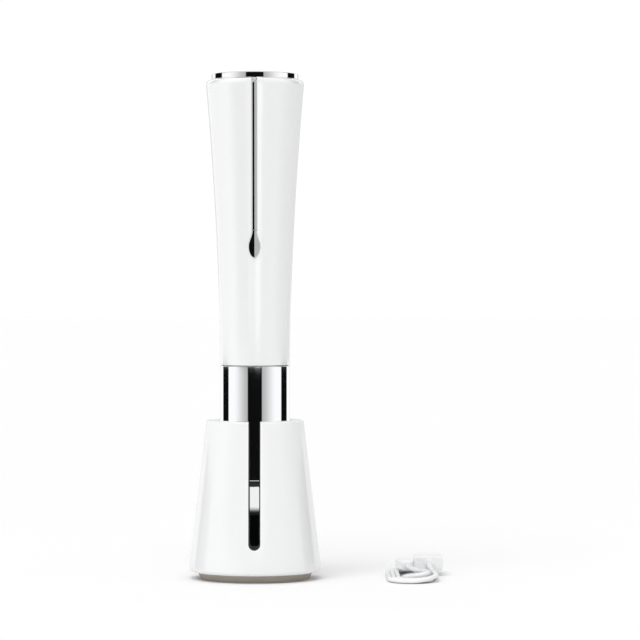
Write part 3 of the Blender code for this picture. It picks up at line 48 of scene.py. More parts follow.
# Sizes that the pieces here share with the CAD pieces they stand for
GAP = 0.3 * MM
FOOT_TOP = 3.8 * MM
SHELL_Z = 4.1 * MM
STAND_TOP_Z = 86.0 * MM
STAND_BOTTOM_R = 36.1 * MM
STAND_TOP_R = 26.4 * MM
STAND_WALL = 2.2 * MM
RIM_Z = 83.4 * MM
WELL_R = 19.4 * MM
WELL_LOW_Z = 7.4 * MM
WELL_FLOOR_Z = 16.0 * MM
LINER_R = 20.7 * MM
SEAT_R = 18.0 * MM
LEDGE_R = 14.6 * MM
LEDGE_Z = 35.6 * MM
SLOT_HALF = 3.2 * MM
SLOT_BOTTOM = 17.8 * MM
CHEEK = 1.6 * MM
# How far the dark lips reach into the slot: a painted shade over the slot's sides
SHADE_LIP = 0.6 * MM
FOOT_R = 31.2 * MM
MOUTH_Z = 35.9 * MM
MOUTH_TOP_Z = 51.0 * MM
MOUTH_R = 17.5 * MM
NECK_R = 15.2 * MM
NECK_OUTER_R = 16.2 * MM
NECK_TOP_Z = 58.8 * MM
SEAL_Z = 51.3 * MM
SEAL_TOP_Z = 53.5 * MM
SEAL_R = 17.4 * MM
SEAL_BORE_R = 16.5 * MM
COLLAR_Z = 53.8 * MM
COLLAR_TOP_Z = 115.6 * MM
COLLAR_R = 19.0 * MM
COLLAR_WALL = 0.9 * MM
BODY_Z = 115.9 * MM
BODY_TOP_Z = 270.2 * MM
SHOULDER_Z = 267.5 * MM
SHOULDER_IN = 1.7 * MM
BODY_FLARE = 7.5 * MM
FLARE_POWER = 1.8
BODY_WALL = 1.8 * MM
BODY_MOUTH_R = 22.3 * MM
BODY_MOUTH_LOW = 264.0 * MM
PORT_HALF_W = 4.05 * MM
PORT_HALF_H = 1.6 * MM
PORT_Z = 257.6 * MM
CAP_Z = 270.5 * MM
CAP_R = 23.6 * MM
CAP_EDGE_H = 3.0 * MM
CAP_DOME = 1.5 * MM
SKIRT_R = 22.0 * MM
SKIRT_BORE_R = 20.9 * MM
DROP_Z = 179.9 * MM
DROP_HALF = 3.25 * MM
DROP_BELLY = 5.9 * MM
DROP_TAIL = 8.6 * MM
TRIM_HALF = 1.25 * MM
TRIM_Z = 188.8 * MM
RIDGE_SLOPE = math.tan(math.radians(13))
CABLE_X = 85.0 * MM
CORD_R = 1.25 * MM

ROUND = 224  # facets round the large shells
ON_AXIS = 1e-7  # a point nearer the Z axis than this is on it


# ---------------------------------------------------------------- finishes


class Reading:
    """A value inside a finish. Sums written on it become Math nodes."""

    def __init__(self, finish, socket):
        self.finish = finish
        self.socket = socket

    def math(self, operation, *values):
        return self.finish.node("ShaderNodeMath", {"operation": operation}, values)

    def __add__(self, other):
        return self.math("ADD", self, other)

    def __sub__(self, other):
        return self.math("SUBTRACT", self, other)

    def __mul__(self, other):
        return self.math("MULTIPLY", self, other)

    def __rsub__(self, other):
        return self.math("SUBTRACT", other, self)

    def __pow__(self, other):
        return self.math("POWER", self, other)

    __radd__ = __add__
    __rmul__ = __mul__

    def size(self):
        return self.math("ABSOLUTE", self)

    def sine(self):
        return self.math("SINE", self)

    def bearing(self, along):
        """The angle of this reading against another at a right angle to it, in radians."""
        return self.math("ARCTAN2", self, along)

    def step(self, low, high):
        """0 below low, 1 above high, and a smooth rise between."""
        settings = {"interpolation_type": "SMOOTHSTEP"}
        return self.finish.node("ShaderNodeMapRange", settings, (self, low, high, 0.0, 1.0))


class Finish:
    """A material: one Principled shader and the nodes that vary it over the surface."""

    def __init__(self, name, colour, roughness, metallic=0.0, constants=None):
        self.material = bpy.data.materials.new(name)
        self.material.use_nodes = True
        self.tree = self.material.node_tree
        self.shader = self.tree.nodes["Principled BSDF"]
        self.colour = colour
        self.shader.inputs["Base Color"].default_value = (*colour, 1.0)
        self.shader.inputs["Roughness"].default_value = roughness
        self.shader.inputs["Metallic"].default_value = metallic
        for socket, value in (constants or {}).items():
            self.shader.inputs[socket].default_value = value
        self.place = self.node("ShaderNodeTexCoord", output="Object")

    def node(self, kind, settings=None, values=(), output=0):
        """Adds a node. `values` are its sockets' numbers or links, in order or by name."""
        made = self.tree.nodes.new(kind)
        for setting, value in (settings or {}).items():
            setattr(made, setting, value)
        pairs = values.items() if isinstance(values, dict) else enumerate(values)
        for socket, value in pairs:
            if isinstance(value, Reading):
                self.tree.links.new(value.socket, made.inputs[socket])
            elif value is not None:
                made.inputs[socket].default_value = value
        return Reading(self, made.outputs[output])

    def feed(self, socket, reading):
        self.tree.links.new(reading.socket, self.shader.inputs[socket])

    def noise(self, scale, detail=3.0, place=None):
        values = {
            "Vector": place or self.place,
            "Scale": scale,
            "Detail": detail,
            "Roughness": 0.55,
        }
        return self.node("ShaderNodeTexNoise", None, values, "Fac")

    def axis(self, letter):
        return self.node("ShaderNodeSeparateXYZ", None, (self.place,), letter)

    def stretched(self, x, y, z):
        settings = {"operation": "MULTIPLY"}
        return self.node("ShaderNodeVectorMath", settings, (self.place, (x, y, z)))

    def angle(self):
        """The angle round the Z axis, in radians."""
        return self.axis("Y").bearing(self.axis("X"))

    def radius(self):
        return (self.axis("X") ** 2.0 + self.axis("Y") ** 2.0) ** 0.5

    def blend(self, share, first, second):
        settings = {"data_type": "RGBA"}
        values = {0: share, 6: first, 7: second}
        return self.node("ShaderNodeMix", settings, values, 2)

    def tint(self, share, colour):
        """Moves the base colour towards another by a varying share."""
        self.feed("Base Color", self.blend(share, (*self.colour, 1.0), (*colour, 1.0)))

    def bump(self, height, depth):
        values = {"Strength": 1.0, "Distance": depth, "Height": height}
        self.feed("Normal", self.node("ShaderNodeBump", None, values))


def moulded(name, colour, roughness, grain, depth, shade, constants=None):
    """Moulded plastic or rubber: a fine grain, slow changes of gloss, and a faint mottle."""
    made = Finish(name, colour, roughness, constants=constants)
    fine = made.noise(grain, 4.0)
    slow = made.noise(45.0, 3.0)
    made.bump(fine, depth)
    made.feed("Roughness", roughness * (0.8 + 0.4 * slow))
    mottle = tuple(channel * shade for channel in colour)
    made.tint(made.noise(120.0, 5.0).step(0.42, 0.72), mottle)
    return made


def glossy_shell(name, coat):
    """Polished white moulding, with a barely visible flow in its gloss and fine dust marks."""
    constants = {"IOR": 1.5, "Coat Weight": coat, "Coat Roughness": 0.05}
    made = Finish(name, (0.825, 0.828, 0.832), 0.12, constants=constants)
    flow = made.noise(9.0, 2.0, made.stretched(1.0, 1.0, 0.25))
    specks = made.noise(2600.0, 2.0).step(0.70, 0.78)
    made.feed("Roughness", 0.09 + 0.07 * flow + 0.12 * specks)
    made.tint(0.35 * flow.step(0.35, 0.75) + 0.10 * specks, (0.785, 0.79, 0.797))
    made.bump(made.noise(70.0, 2.0), 0.006 * MM)
    return made


def mirror_metal(name, colour=(0.86, 0.865, 0.875), roughness=0.035, painted_dark_reflection_below=None):
    """Bright plating: faint wiping marks and a trace of unevenness.

    The last argument gives two heights. The plating is painted dark up to the first and bright from
    the second: a painted dark reflection, fixed to the height.
    """
    made = Finish(name, colour, roughness, metallic=1.0)
    wipes = made.noise(60.0, 3.0, made.stretched(1.0, 1.0, 6.0))
    prints = made.noise(35.0, 4.0).step(0.52, 0.75)
    made.feed("Roughness", roughness * (0.6 + 0.8 * wipes) + 0.02 * prints)
    if painted_dark_reflection_below:
        # Painted dark reflection: near black below the first height, fading to the plating's own
        # colour by the second
        made.tint(1.0 - made.axis("Z").step(*painted_dark_reflection_below), (0.03, 0.03, 0.03))
    else:
        made.tint(0.25 * prints, tuple(channel * 0.94 for channel in colour))
    made.bump(made.noise(30.0, 1.5), 0.002 * MM)
    return made


def turned_metal(name, colour, roughness, metallic=1.0):
    """Machined metal: fine tool rings round the Z axis and a brushed change of gloss."""
    pitch = 0.12 * MM
    made = Finish(name, colour, roughness, metallic=metallic)
    rings = ((made.radius() + 0.7 * made.axis("Z")) * (2 * math.pi / pitch)).sine()
    scuffs = made.noise(260.0, 4.0, made.stretched(1.0, 1.0, 0.2))
    made.bump(rings + scuffs, 0.004 * MM)
    made.feed("Roughness", roughness * (0.75 + 0.5 * scuffs))
    worn = tuple(channel * 0.82 for channel in colour)
    made.tint(made.noise(90.0, 4.0).step(0.4, 0.7), worn)
    return made


def copper_winding():
    """Varnished wire, wound along the armature's slots."""
    made = Finish("copper_winding", (0.66, 0.29, 0.12), 0.32, metallic=0.9)
    strands = (made.angle() * 48.0).sine()
    slots = (made.angle() * 5.0).sine().size().step(0.06, 0.2)
    made.bump(strands * slots, 0.12 * MM)
    made.tint(1.0 - slots, (0.05, 0.045, 0.04))
    made.feed("Roughness", 0.26 + 0.14 * made.noise(300.0))
    return made


def circuit_board():
    """Green solder mask with tracks and bare pads."""
    made = Finish("circuit_board", (0.02, 0.16, 0.07), 0.35)
    cells = made.node(
        "ShaderNodeTexVoronoi",
        {"feature": "DISTANCE_TO_EDGE", "distance": "EUCLIDEAN"},
        {"Vector": made.place, "Scale": 420.0},
        "Distance",
    )
    tracks = 1.0 - cells.step(0.03, 0.06)
    dots = {"Vector": made.place, "Scale": 300.0}
    pads = made.node("ShaderNodeTexVoronoi", None, dots, "Distance")
    bare = 1.0 - pads.step(0.14, 0.16)
    green = made.blend(tracks, (0.02, 0.16, 0.07, 1.0), (0.05, 0.30, 0.12, 1.0))
    made.feed("Base Color", made.blend(bare, green, (0.72, 0.62, 0.40, 1.0)))
    made.feed("Metallic", bare)
    made.bump(tracks + bare, 0.04 * MM)
    made.feed("Roughness", 0.30 + 0.12 * made.noise(200.0))
    return made


def cell_sleeve():
    """Shrunk film over the cell, with its overlap seam down one side."""
    made = Finish("cell_sleeve", (0.05, 0.17, 0.42), 0.28)
    seam = (made.angle() - 1.2).size()
    overlap = 1.0 - seam.step(0.05, 0.09)
    ripples = made.noise(160.0, 3.0, made.stretched(1.0, 1.0, 0.15))
    made.bump(ripples + overlap, 0.05 * MM)
    made.tint(overlap, (0.03, 0.11, 0.30))
    made.feed("Roughness", 0.22 + 0.16 * ripples)
    return made


def sintered_magnet():
    """Pressed and fired powder: dull, dark and pitted."""
    made = Finish("sintered_magnet", (0.07, 0.07, 0.075), 0.62, metallic=0.4)
    pits = made.noise(900.0, 5.0)
    made.bump(pits, 0.04 * MM)
    made.tint(pits.step(0.5, 0.7), (0.13, 0.125, 0.12))
    made.feed("Roughness", 0.5 + 0.25 * pits)
    return made


def clear_wrap():
    """Thin clear film: almost invisible flat on, with bright creases."""
    made = Finish("clear_wrap", (0.93, 0.94, 0.95), 0.08, constants={"IOR": 1.5})
    creases = made.noise(140.0, 2.0, made.stretched(1.0, 0.35, 1.0))
    edge = made.noise(520.0, 2.0)
    made.bump(creases + 0.2 * edge, 0.5 * MM)
    made.feed("Roughness", 0.05 + 0.08 * edge)
    made.tint(creases.step(0.5, 0.7), (0.86, 0.88, 0.90))
    made.feed("Alpha", 0.10 + 0.16 * creases.step(0.48, 0.7))
    return made


WHITE = glossy_shell("polished_white", 1.0)
STAND_WHITE = glossy_shell("stand_white", 0.1)
MIRROR = mirror_metal("mirror_plating")
# The mouth ring's plating carries a painted dark reflection along its lower edge
MOUTH_METAL = mirror_metal("polished_mouth", roughness=0.06, painted_dark_reflection_below=(0.0370, 0.0404))
SATIN_BLACK = moulded("satin_black", (0.012, 0.012, 0.013), 0.42, 1400.0, 0.02 * MM, 1.7)
WELL_BLACK = moulded(
    "well_black", (0.03, 0.03, 0.031), 0.75, 1400.0, 0.02 * MM, 1.5,
    constants={"Specular IOR Level": 0.06},
)
GASKET_RUBBER = moulded("gasket_rubber", (0.014, 0.014, 0.015), 0.6, 1800.0, 0.03 * MM, 1.6)
TAUPE = moulded("taupe_rubber", (0.40, 0.357, 0.31), 0.72, 1500.0, 0.04 * MM, 0.93)
GREY = moulded("grey_moulding", (0.42, 0.43, 0.44), 0.48, 1100.0, 0.03 * MM, 0.9)
NYLON = moulded("natural_nylon", (0.78, 0.75, 0.66), 0.44, 900.0, 0.02 * MM, 0.92)
CABLE_WHITE = moulded(
    "cable_white", (0.84, 0.845, 0.85), 0.36, 1600.0, 0.015 * MM, 0.97, constants={"IOR": 1.46},
)
TONGUE = moulded("connector_tongue", (0.80, 0.80, 0.79), 0.40, 1500.0, 0.01 * MM, 0.95)
STEEL = turned_metal("bright_steel", (0.60, 0.60, 0.61), 0.28)
PLUG_STEEL = mirror_metal("plug_steel", (0.70, 0.70, 0.71), 0.16)
BRONZE = turned_metal("bearing_bronze", (0.58, 0.38, 0.18), 0.33)
COATED = turned_metal("coated_worm", (0.045, 0.045, 0.05), 0.26, metallic=0.5)

SLOT_FINISH = {
    "white_gloss": WHITE,
    "black_plastic": SATIN_BLACK,
    "gasket_rubber": GASKET_RUBBER,
    "foot_rubber": TAUPE,
    "chrome": MIRROR,
    "grey_plastic": GREY,
    "nylon": NYLON,
    "bronze": BRONZE,
    "steel": STEEL,
    "coated_steel": COATED,
    "magnet": sintered_magnet(),
    "copper": copper_winding(),
    "cell_wrap": cell_sleeve(),
    "board_green": circuit_board(),
    "cable_white": CABLE_WHITE,
    "clear_film": clear_wrap(),
}


# ---------------------------------------------------------------- mesh tools


def new_object(name, data):
    made = bpy.data.objects.new(name, data)
    bpy.context.scene.collection.objects.link(made)
    return made


def mesh_of(name, shape):
    mesh = bpy.data.meshes.new(name)
    shape.to_mesh(mesh)
    shape.free()
    return mesh


def mesh_object(name, shape, sharp=35.0):
    """An object from a bmesh, smooth except along edges sharper than `sharp` degrees."""
    bmesh.ops.recalc_face_normals(shape, faces=shape.faces)
    mesh = mesh_of(name, shape)
    mesh.shade_smooth()
    mesh.set_sharp_from_angle(angle=math.radians(sharp))
    return new_object(name, mesh)


def settle(piece, sharp=None):
    """Turns the piece's modifiers into its mesh."""
    graph = bpy.context.evaluated_depsgraph_get()
    mesh = bpy.data.meshes.new_from_object(piece.evaluated_get(graph))
    piece.modifiers.clear()
    old, piece.data = piece.data, mesh
    bpy.data.meshes.remove(old)
    if sharp:
        mesh.shade_smooth()
        mesh.set_sharp_from_angle(angle=math.radians(sharp))


def carve(piece, shape, operation="DIFFERENCE"):
    tool = mesh_object("tool", shape)
    modifier = piece.modifiers.new("carve", "BOOLEAN")
    modifier.operation = operation
    modifier.solver = "EXACT"
    modifier.object = tool
    settle(piece)
    mesh = tool.data
    bpy.data.objects.remove(tool)
    bpy.data.meshes.remove(mesh)


def soften(piece, width, above, segments=3):
    """Rounds the edges that are sharper than `above` degrees."""
    modifier = piece.modifiers.new("soften", "BEVEL")
    modifier.width = width
    modifier.segments = segments
    modifier.limit_method = "ANGLE"
    modifier.angle_limit = math.radians(above)
    modifier.use_clamp_overlap = True
    settle(piece, 35)


def finish_piece(piece, body, finish, slot, *stands_for):
    """Evens a piece's shading, gives it its finish, and sets it on a body."""
    if piece.type == "MESH":
        even = piece.modifiers.new("even", "WEIGHTED_NORMAL")
        even.keep_sharp = True
        settle(piece)
    piece.data.materials.clear()
    piece.data.materials.append(finish.material)
    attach(piece, body)
    if stands_for:
        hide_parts(*stands_for)
    return piece


def hide_from(piece, *rays):
    for ray in rays:
        setattr(piece, "visible_" + ray, False)


def arc(centre_a, centre_b, radius, start, end, steps):
    """Points round a circle, from one angle to another in degrees."""
    turns = [math.radians(start + (end - start) * i / steps) for i in range(steps + 1)]
    return [(centre_a + radius * math.cos(t), centre_b + radius * math.sin(t)) for t in turns]


def rounded(corners, steps=6):
    """A closed outline whose corners (a, b, fillet radius) are replaced by arcs."""
    outline = []
    for i, (a, b, fillet) in enumerate(corners):
        here = Vector((a, b))
        if fillet == 0:
            outline.append((a, b))
            continue
        back = (Vector(corners[i - 1][:2]) - here).normalized()
        ahead = (Vector(corners[(i + 1) % len(corners)][:2]) - here).normalized()
        half = back.angle(ahead) / 2
        reach = fillet / math.tan(half)
        centre = here + (back + ahead).normalized() * (fillet / math.sin(half))
        first = here + back * reach - centre
        last = here + ahead * reach - centre
        sweep = first.angle_signed(last)
        for k in range(steps + 1):
            turn = -sweep * k / steps
            x = first.x * math.cos(turn) - first.y * math.sin(turn)
            y = first.x * math.sin(turn) + first.y * math.cos(turn)
            outline.append((centre.x + x, centre.y + y))
    return outline


def dense(outline, longest):
    """The closed outline with its long sides split."""
    points = []
    for i, (a, b) in enumerate(outline):
        next_a, next_b = outline[(i + 1) % len(outline)]
        count = max(1, math.ceil(math.hypot(next_a - a, next_b - b) / longest))
        for k in range(count):
            points.append((a + (next_a - a) * k / count, b + (next_b - b) * k / count))
    return points


def lathe(outline, facets=ROUND):
    """A solid turned round the Z axis from a closed (radius, z) outline."""
    shape = bmesh.new()
    rings = []
    for radius, z in outline:
        if radius < ON_AXIS:
            rings.append([shape.verts.new((0, 0, z))])
            continue
        ring = []
        for i in range(facets):
            turn = 2 * math.pi * (i + 0.5) / facets
            ring.append(shape.verts.new((radius * math.cos(turn), radius * math.sin(turn), z)))
        rings.append(ring)
    for lower, upper in zip(rings, rings[1:] + rings[:1]):
        if len(lower) == 1 and len(upper) == 1:
            continue
        for i in range(facets):
            j = (i + 1) % facets
            if len(lower) == 1:
                shape.faces.new((lower[0], upper[j], upper[i]))
            elif len(upper) == 1:
                shape.faces.new((lower[i], lower[j], upper[0]))
            else:
                shape.faces.new((lower[i], lower[j], upper[j], upper[i]))
    return shape


def loft(sections):
    """A solid through closed sections of equal point count, with flat ends."""
    shape = bmesh.new()
    rings = [[shape.verts.new(point) for point in section] for section in sections]
    shape.faces.new(list(reversed(rings[0])))
    shape.faces.new(rings[-1])
    count = len(rings[0])
    for first, second in zip(rings, rings[1:]):
        for k in range(count):
            n = (k + 1) % count
            shape.faces.new((first[k], first[n], second[n], second[k]))
    return shape


def along_y(outline, low, high):
    """An (x, z) outline extruded from y = low to y = high."""
    return loft([[(x, y, z) for x, z in outline] for y in (low, high)])


def smooth_route(points, spacing):
    """Points about `spacing` apart, on a smooth curve through the given ones."""
    route = []
    last = len(points) - 1
    for i in range(last):
        before = Vector(points[max(i - 1, 0)])
        here = Vector(points[i])
        after = Vector(points[i + 1])
        beyond = Vector(points[min(i + 2, last)])
        count = max(1, round((after - here).length / spacing))
        for k in range(count):
            t = k / count
            route.append(0.5 * (
                2 * here + (after - before) * t
                + (2 * before - 5 * here + 4 * after - beyond) * t**2
                + (3 * here - before - 3 * after + beyond) * t**3
            ))
    route.append(Vector(points[-1]))
    return route


# ---------------------------------------------------------------- camera


def make_camera():
    data = bpy.data.cameras.new("camera")
    data.sensor_width = 36.0
    data.lens = 174.4
    data.clip_start = 0.05
    data.clip_end = 50.0
    camera = new_object("camera", data)
    camera.location = (0.0235, -1.683, 0.162)
    dip, turn = 0.74, -0.40
    camera.rotation_euler = (math.radians(90 - dip), 0, math.radians(turn))
    bpy.context.scene.camera = camera


# ---------------------------------------------------------------- charging cable

PLUG_REAR = 8.9 * MM
USB_U = 9.6 * MM
USB_Z = 7.1 * MM
USB_BODY = (15.6 * MM, 16.8 * MM, 7.8 * MM)
USB_SHELL = (12.0 * MM, 4.5 * MM, 10.1 * MM)
MICRO_U = -2.1 * MM
MICRO_Z = 6.0 * MM
MICRO_TILT = math.radians(6)
MICRO_BODY = (9.2 * MM, 15.0 * MM, 5.6 * MM)
MICRO_REAR_W = 7.0 * MM
MICRO_SHELL = (6.4 * MM, 1.9 * MM, 5.8 * MM)
RELIEF = 2.2 * MM
RUN = 20.75  # half of the hank's straight run, in millimetres
TURNS = (12.5, 10.0, 7.5)
LOW = 1.55  # the cord's middle where it lies on the table, in millimetres
HIGH = 4.2  # and where it crosses the hank


def fold(radius, centre_v, start, end, heights, steps=14):
    """Points round one fold of the hank, in millimetres. `heights` gives z at a share of it."""
    points = arc(0, centre_v, radius, start, end, steps)
    return [(u, v, heights(i / steps)) for i, (u, v) in enumerate(points)]


def level(_share):
    return LOW


def coming_down(share):
    """From the crossing's height down to the table's."""
    fall = min(1.0, share / 0.55)
    return HIGH - 0.55 + (LOW - HIGH + 0.55) * (3 * fall**2 - 2 * fall**3)


def run_points(u, low, high):
    """Points along a straight run of the hank, without its two ends."""
    steps = 6
    return [(u, low + (high - low) * i / steps, LOW) for i in range(1, steps)]


def cable_route():
    """The cord from the large plug to the small one, in metres, in the cable's own (u, v, z)."""
    first, second, third = TURNS
    points = [
        (9.6, 6.5, 7.1), (9.65, 5.0, 7.05), (9.75, 3.2, 6.75), (10.2, 0.4, 5.7),
        (10.8, -3.0, 4.6), (11.2, -6.5, HIGH), (11.35, -10.0, HIGH), (11.6, -14.0, HIGH - 0.02),
        (12.05, -17.6, HIGH - 0.2),
    ]
    points += fold(first, -RUN, 0, -180, coming_down)
    points += run_points(-first, -RUN, RUN)
    points += fold(first, RUN, 180, 0, level)
    points += [(first, 14.0, LOW), (first, 7.0, LOW), (first, 0.0, LOW), (12.3, -5.5, LOW)]
    points += [(11.6, -10.5, LOW), (10.6, -15.5, LOW)]
    points += fold(second, -RUN, 0, -180, level)
    points += run_points(-second, -RUN, RUN)
    points += fold(second, RUN, 180, 0, level)
    points += [(second, 14.0, LOW), (second, 7.0, LOW), (second, 0.0, LOW), (9.8, -5.5, LOW)]
    points += [(9.1, -10.5, LOW), (8.1, -15.5, LOW)]
    points += fold(third, -RUN, 0, -180, level)
    points += run_points(-third, -RUN, RUN)
    points += fold(third, RUN, 180, 25, level, 12)
    points += [
        (5.9, 19.4, LOW), (5.0, 15.0, LOW), (4.4, 10.0, LOW), (2.9, 5.6, LOW), (-0.6, -1.0, LOW),
        (-3.6, -8.0, LOW), (-4.4, -14.0, 1.65), (-2.6, -20.4, 2.45), (2.2, -24.0, 3.65),
        (7.2, -21.6, 4.4), (8.6, -16.2, 4.45), (7.0, -10.4, 4.45), (4.0, -5.0, 4.45),
        (1.0, -0.2, 4.75), (-1.0, 3.4, 5.55),
    ]
    turn = Matrix.Rotation(MICRO_TILT, 3, "Z")
    end = Vector((MICRO_U, PLUG_REAR, MICRO_Z)) + turn @ Vector((0, -RELIEF - GAP, 0))
    route = [Vector(point) * MM for point in points]
    route += [end + turn @ Vector((0, -1.6 * MM, 0)), end]
    return smooth_route(route, 1.1 * MM)


def on_cable(point):
    return Vector(point) + Vector((CABLE_X, 0, 0))


def rounded_section(width, height, corner, v, centre, turn):
    """A plug's section at `v` along it, placed and turned on the cable."""
    corners = [
        (-width / 2, -height / 2, corner), (width / 2, -height / 2, corner),
        (width / 2, height / 2, corner), (-width / 2, height / 2, corner),
    ]
    flat = rounded(corners, 5)
    return [on_cable(centre + turn @ Vector((x, v, z))) for x, z in flat]


def plug_body(name, rear_w, front_w, length, thick, centre, turn):
    """A moulded plug with soft edges and a short ribbed relief where the cord comes out."""
    soft = 0.9 * MM
    quarter = [math.pi / 2 * i / 4 for i in range(5)]
    sections = []
    for v, width, height in (
        (-RELIEF, 3.5, 3.3), (-RELIEF + 0.25 * MM, 4.1, 3.9), (-1.35 * MM, 4.1, 3.9),
        (-1.2 * MM, 3.5, 3.3), (-0.9 * MM, 3.5, 3.3), (-0.75 * MM, 4.3, 4.1),
        (-0.02 * MM, 4.4, 4.2),
    ):
        sections.append(rounded_section(width * MM, height * MM, 1.3 * MM, v, centre, turn))
    for angle in quarter:
        v = soft * (1 - math.cos(angle))
        inset = 1.6 * soft * (1 - math.sin(angle))
        sections.append(rounded_section(rear_w - inset, thick - inset, 1.5 * MM, v, centre, turn))
    for angle in quarter:
        v = length - soft * (1 - math.sin(angle))
        inset = soft * (1 - math.cos(angle))
        sections.append(rounded_section(front_w - inset, thick - inset, 1.5 * MM, v, centre, turn))
    return mesh_object(name, loft(sections), sharp=40)


def plug_shell(name, width, height, start, out, centre, turn, corner):
    """A pressed steel connector shell, open at its end."""
    wall = 0.3 * MM
    sections = [
        rounded_section(width - 2 * inset, height - 2 * inset, corner, v, centre, turn)
        for v, inset in ((start + GAP, 0), (start + out - 0.15 * MM, 0), (start + out, 0.1 * MM))
    ]
    shell = mesh_object(name, loft(sections), sharp=30)
    bore = loft([
        rounded_section(width - 2 * wall, height - 2 * wall, corner * 0.7, v, centre, turn)
        for v in (start + GAP + 0.8 * MM, start + out + MM)
    ])
    carve(shell, bore)
    return shell


def block(low, high, centre, turn):
    """A plain block between two corners, placed and turned on the cable."""
    shape = bmesh.new()
    size = [b - a for a, b in zip(low, high)]
    middle = Vector([(a + b) / 2 for a, b in zip(low, high)])
    fitted = Matrix.Translation(middle) @ Matrix.Diagonal((*size, 1))
    bmesh.ops.create_cube(shape, size=1, matrix=fitted)
    place = Matrix.Translation(on_cable(centre)) @ turn.to_4x4()
    bmesh.ops.transform(shape, matrix=place, verts=shape.verts)
    return shape


def make_usb_plug():
    centre = Vector((USB_U, PLUG_REAR, USB_Z))
    straight = Matrix.Identity(3)
    width, length, thick = USB_BODY
    body = plug_body("usb_plug_body", width, width, length, thick, centre, straight)
    finish_piece(body, "charge_cable", CABLE_WHITE, "cable_white", "usb_a_body")
    shell_w, shell_t, out = USB_SHELL
    shell = plug_shell("usb_plug_shell", shell_w, shell_t, length, out, centre, straight, 0.5 * MM)
    for side in (-1, 1):
        low = (side * 2.6 * MM - 1.1 * MM, length + 3.9 * MM, -shell_t)
        high = (side * 2.6 * MM + 1.1 * MM, length + 6.1 * MM, shell_t)
        carve(shell, block(low, high, centre, straight))
    settle(shell, 30)
    finish_piece(shell, "charge_cable", PLUG_STEEL, "steel", "usb_a_shell")
    low = (-shell_w / 2 + 0.45 * MM, length + 1.2 * MM, -shell_t / 2 + 0.45 * MM)
    high = (shell_w / 2 - 0.45 * MM, length + out - 0.5 * MM, -0.1 * MM)
    tongue = mesh_object("usb_plug_tongue", block(low, high, centre, straight))
    soften(tongue, 0.12 * MM, 40)
    finish_piece(tongue, "charge_cable", TONGUE, "cable_white")
    return [body, shell, tongue]


def make_micro_plug():
    centre = Vector((MICRO_U, PLUG_REAR, MICRO_Z))
    turn = Matrix.Rotation(MICRO_TILT, 3, "Z")
    width, length, thick = MICRO_BODY
    body = plug_body("small_plug_body", MICRO_REAR_W, width, length, thick, centre, turn)
    finish_piece(body, "charge_cable", CABLE_WHITE, "cable_white", "micro_usb_body")
    shell_w, shell_t, out = MICRO_SHELL
    shell = plug_shell("small_plug_shell", shell_w, shell_t, length, out, centre, turn, 0.45 * MM)
    settle(shell, 30)
    finish_piece(shell, "charge_cable", PLUG_STEEL, "steel", "micro_usb_shell")
    low = (-2.3 * MM, length + 1.2 * MM, -0.25 * MM)
    high = (2.3 * MM, length + out - 0.6 * MM, 0.3 * MM)
    tongue = mesh_object("small_plug_tongue", block(low, high, centre, turn))
    finish_piece(tongue, "charge_cable", SATIN_BLACK, "black_plastic")
    return [body, shell, tongue]


def make_film_band():
    """The clear sleeve that holds the hank: a thin wrapped wedge with slack between the turns."""
    side = 13.9 * MM
    low_v, high_v = -20.6 * MM, 5.6 * MM
    low_top, high_top = 5.95 * MM, 8.45 * MM
    slack_half = 12 * MM
    thick = 0.12 * MM
    steps_v, steps_u = 20, 26
    shape = bmesh.new()

    def section(share, grow):
        v = low_v + (high_v - low_v) * share
        top = low_top + (high_top - low_top) * share
        corners = [
            (-side - grow, 0.2 * MM - grow, 0.5 * MM), (side + grow, 0.2 * MM - grow, 0.5 * MM),
            (side + grow, top + grow, 1.4 * MM), (-side - grow, top + grow, 1.4 * MM),
        ]
        flat = dense(rounded(corners, 4), 2 * side / steps_u)
        points = []
        for u, z in flat:
            slack = 0.0
            if z > 3 * MM and abs(u) < slack_half:
                across = math.cos(math.pi / 2 * u / slack_half)
                slack = 0.5 * MM * across * math.sin(5 * math.pi * share + 220 * u)
            points.append(on_cable((u, v, z - abs(slack))))
        return points

    outer = [section(k / steps_v, thick) for k in range(steps_v + 1)]
    inner = [section(k / steps_v, 0.0) for k in range(steps_v + 1)]
    count = len(outer[0])
    rings_out = [[shape.verts.new(point) for point in ring] for ring in outer]
    rings_in = [[shape.verts.new(point) for point in ring] for ring in inner]
    for rings in (rings_out, rings_in):
        for first, second in zip(rings, rings[1:]):
            for k in range(count):
                n = (k + 1) % count
                shape.faces.new((first[k], first[n], second[n], second[k]))
    for k in range(count):
        n = (k + 1) % count
        shape.faces.new((rings_out[0][k], rings_in[0][k], rings_in[0][n], rings_out[0][n]))
        shape.faces.new((rings_out[-1][k], rings_out[-1][n], rings_in[-1][n], rings_in[-1][k]))
    film = mesh_object("clear_band", shape, sharp=60)
    return finish_piece(film, "charge_cable", SLOT_FINISH["clear_film"], "clear_film", "film_band")


def make_cable():
    curve = bpy.data.curves.new("charging_cord", "CURVE")
    curve.dimensions = "3D"
    curve.bevel_depth = CORD_R
    curve.bevel_resolution = 5
    curve.use_fill_caps = True
    route = [on_cable(point) for point in cable_route()]
    spline = curve.splines.new("POLY")
    spline.points.add(len(route) - 1)
    for point, place in zip(spline.points, route):
        point.co = (*place, 1)
    spline.use_smooth = True
    cord = new_object("charging_cord", curve)
    stands_for = ("cable_coil", "usb_a_lead", "micro_usb_lead")
    finish_piece(cord, "charge_cable", CABLE_WHITE, "cable_white", *stands_for)
    pieces = make_usb_plug() + make_micro_plug() + [make_film_band()]


# ---------------------------------------------------------------- stand


def slot_tool(inset=0.0):
    """Cuts the upright slot in the stand's front, open at the top."""
    half = SLOT_HALF - inset
    outline = arc(0, SLOT_BOTTOM + SLOT_HALF, half, 180, 360, 28)
    outline += [(half, STAND_TOP_Z + 5 * MM), (-half, STAND_TOP_Z + 5 * MM)]
    return along_y(outline, -44 * MM, -5 * MM)


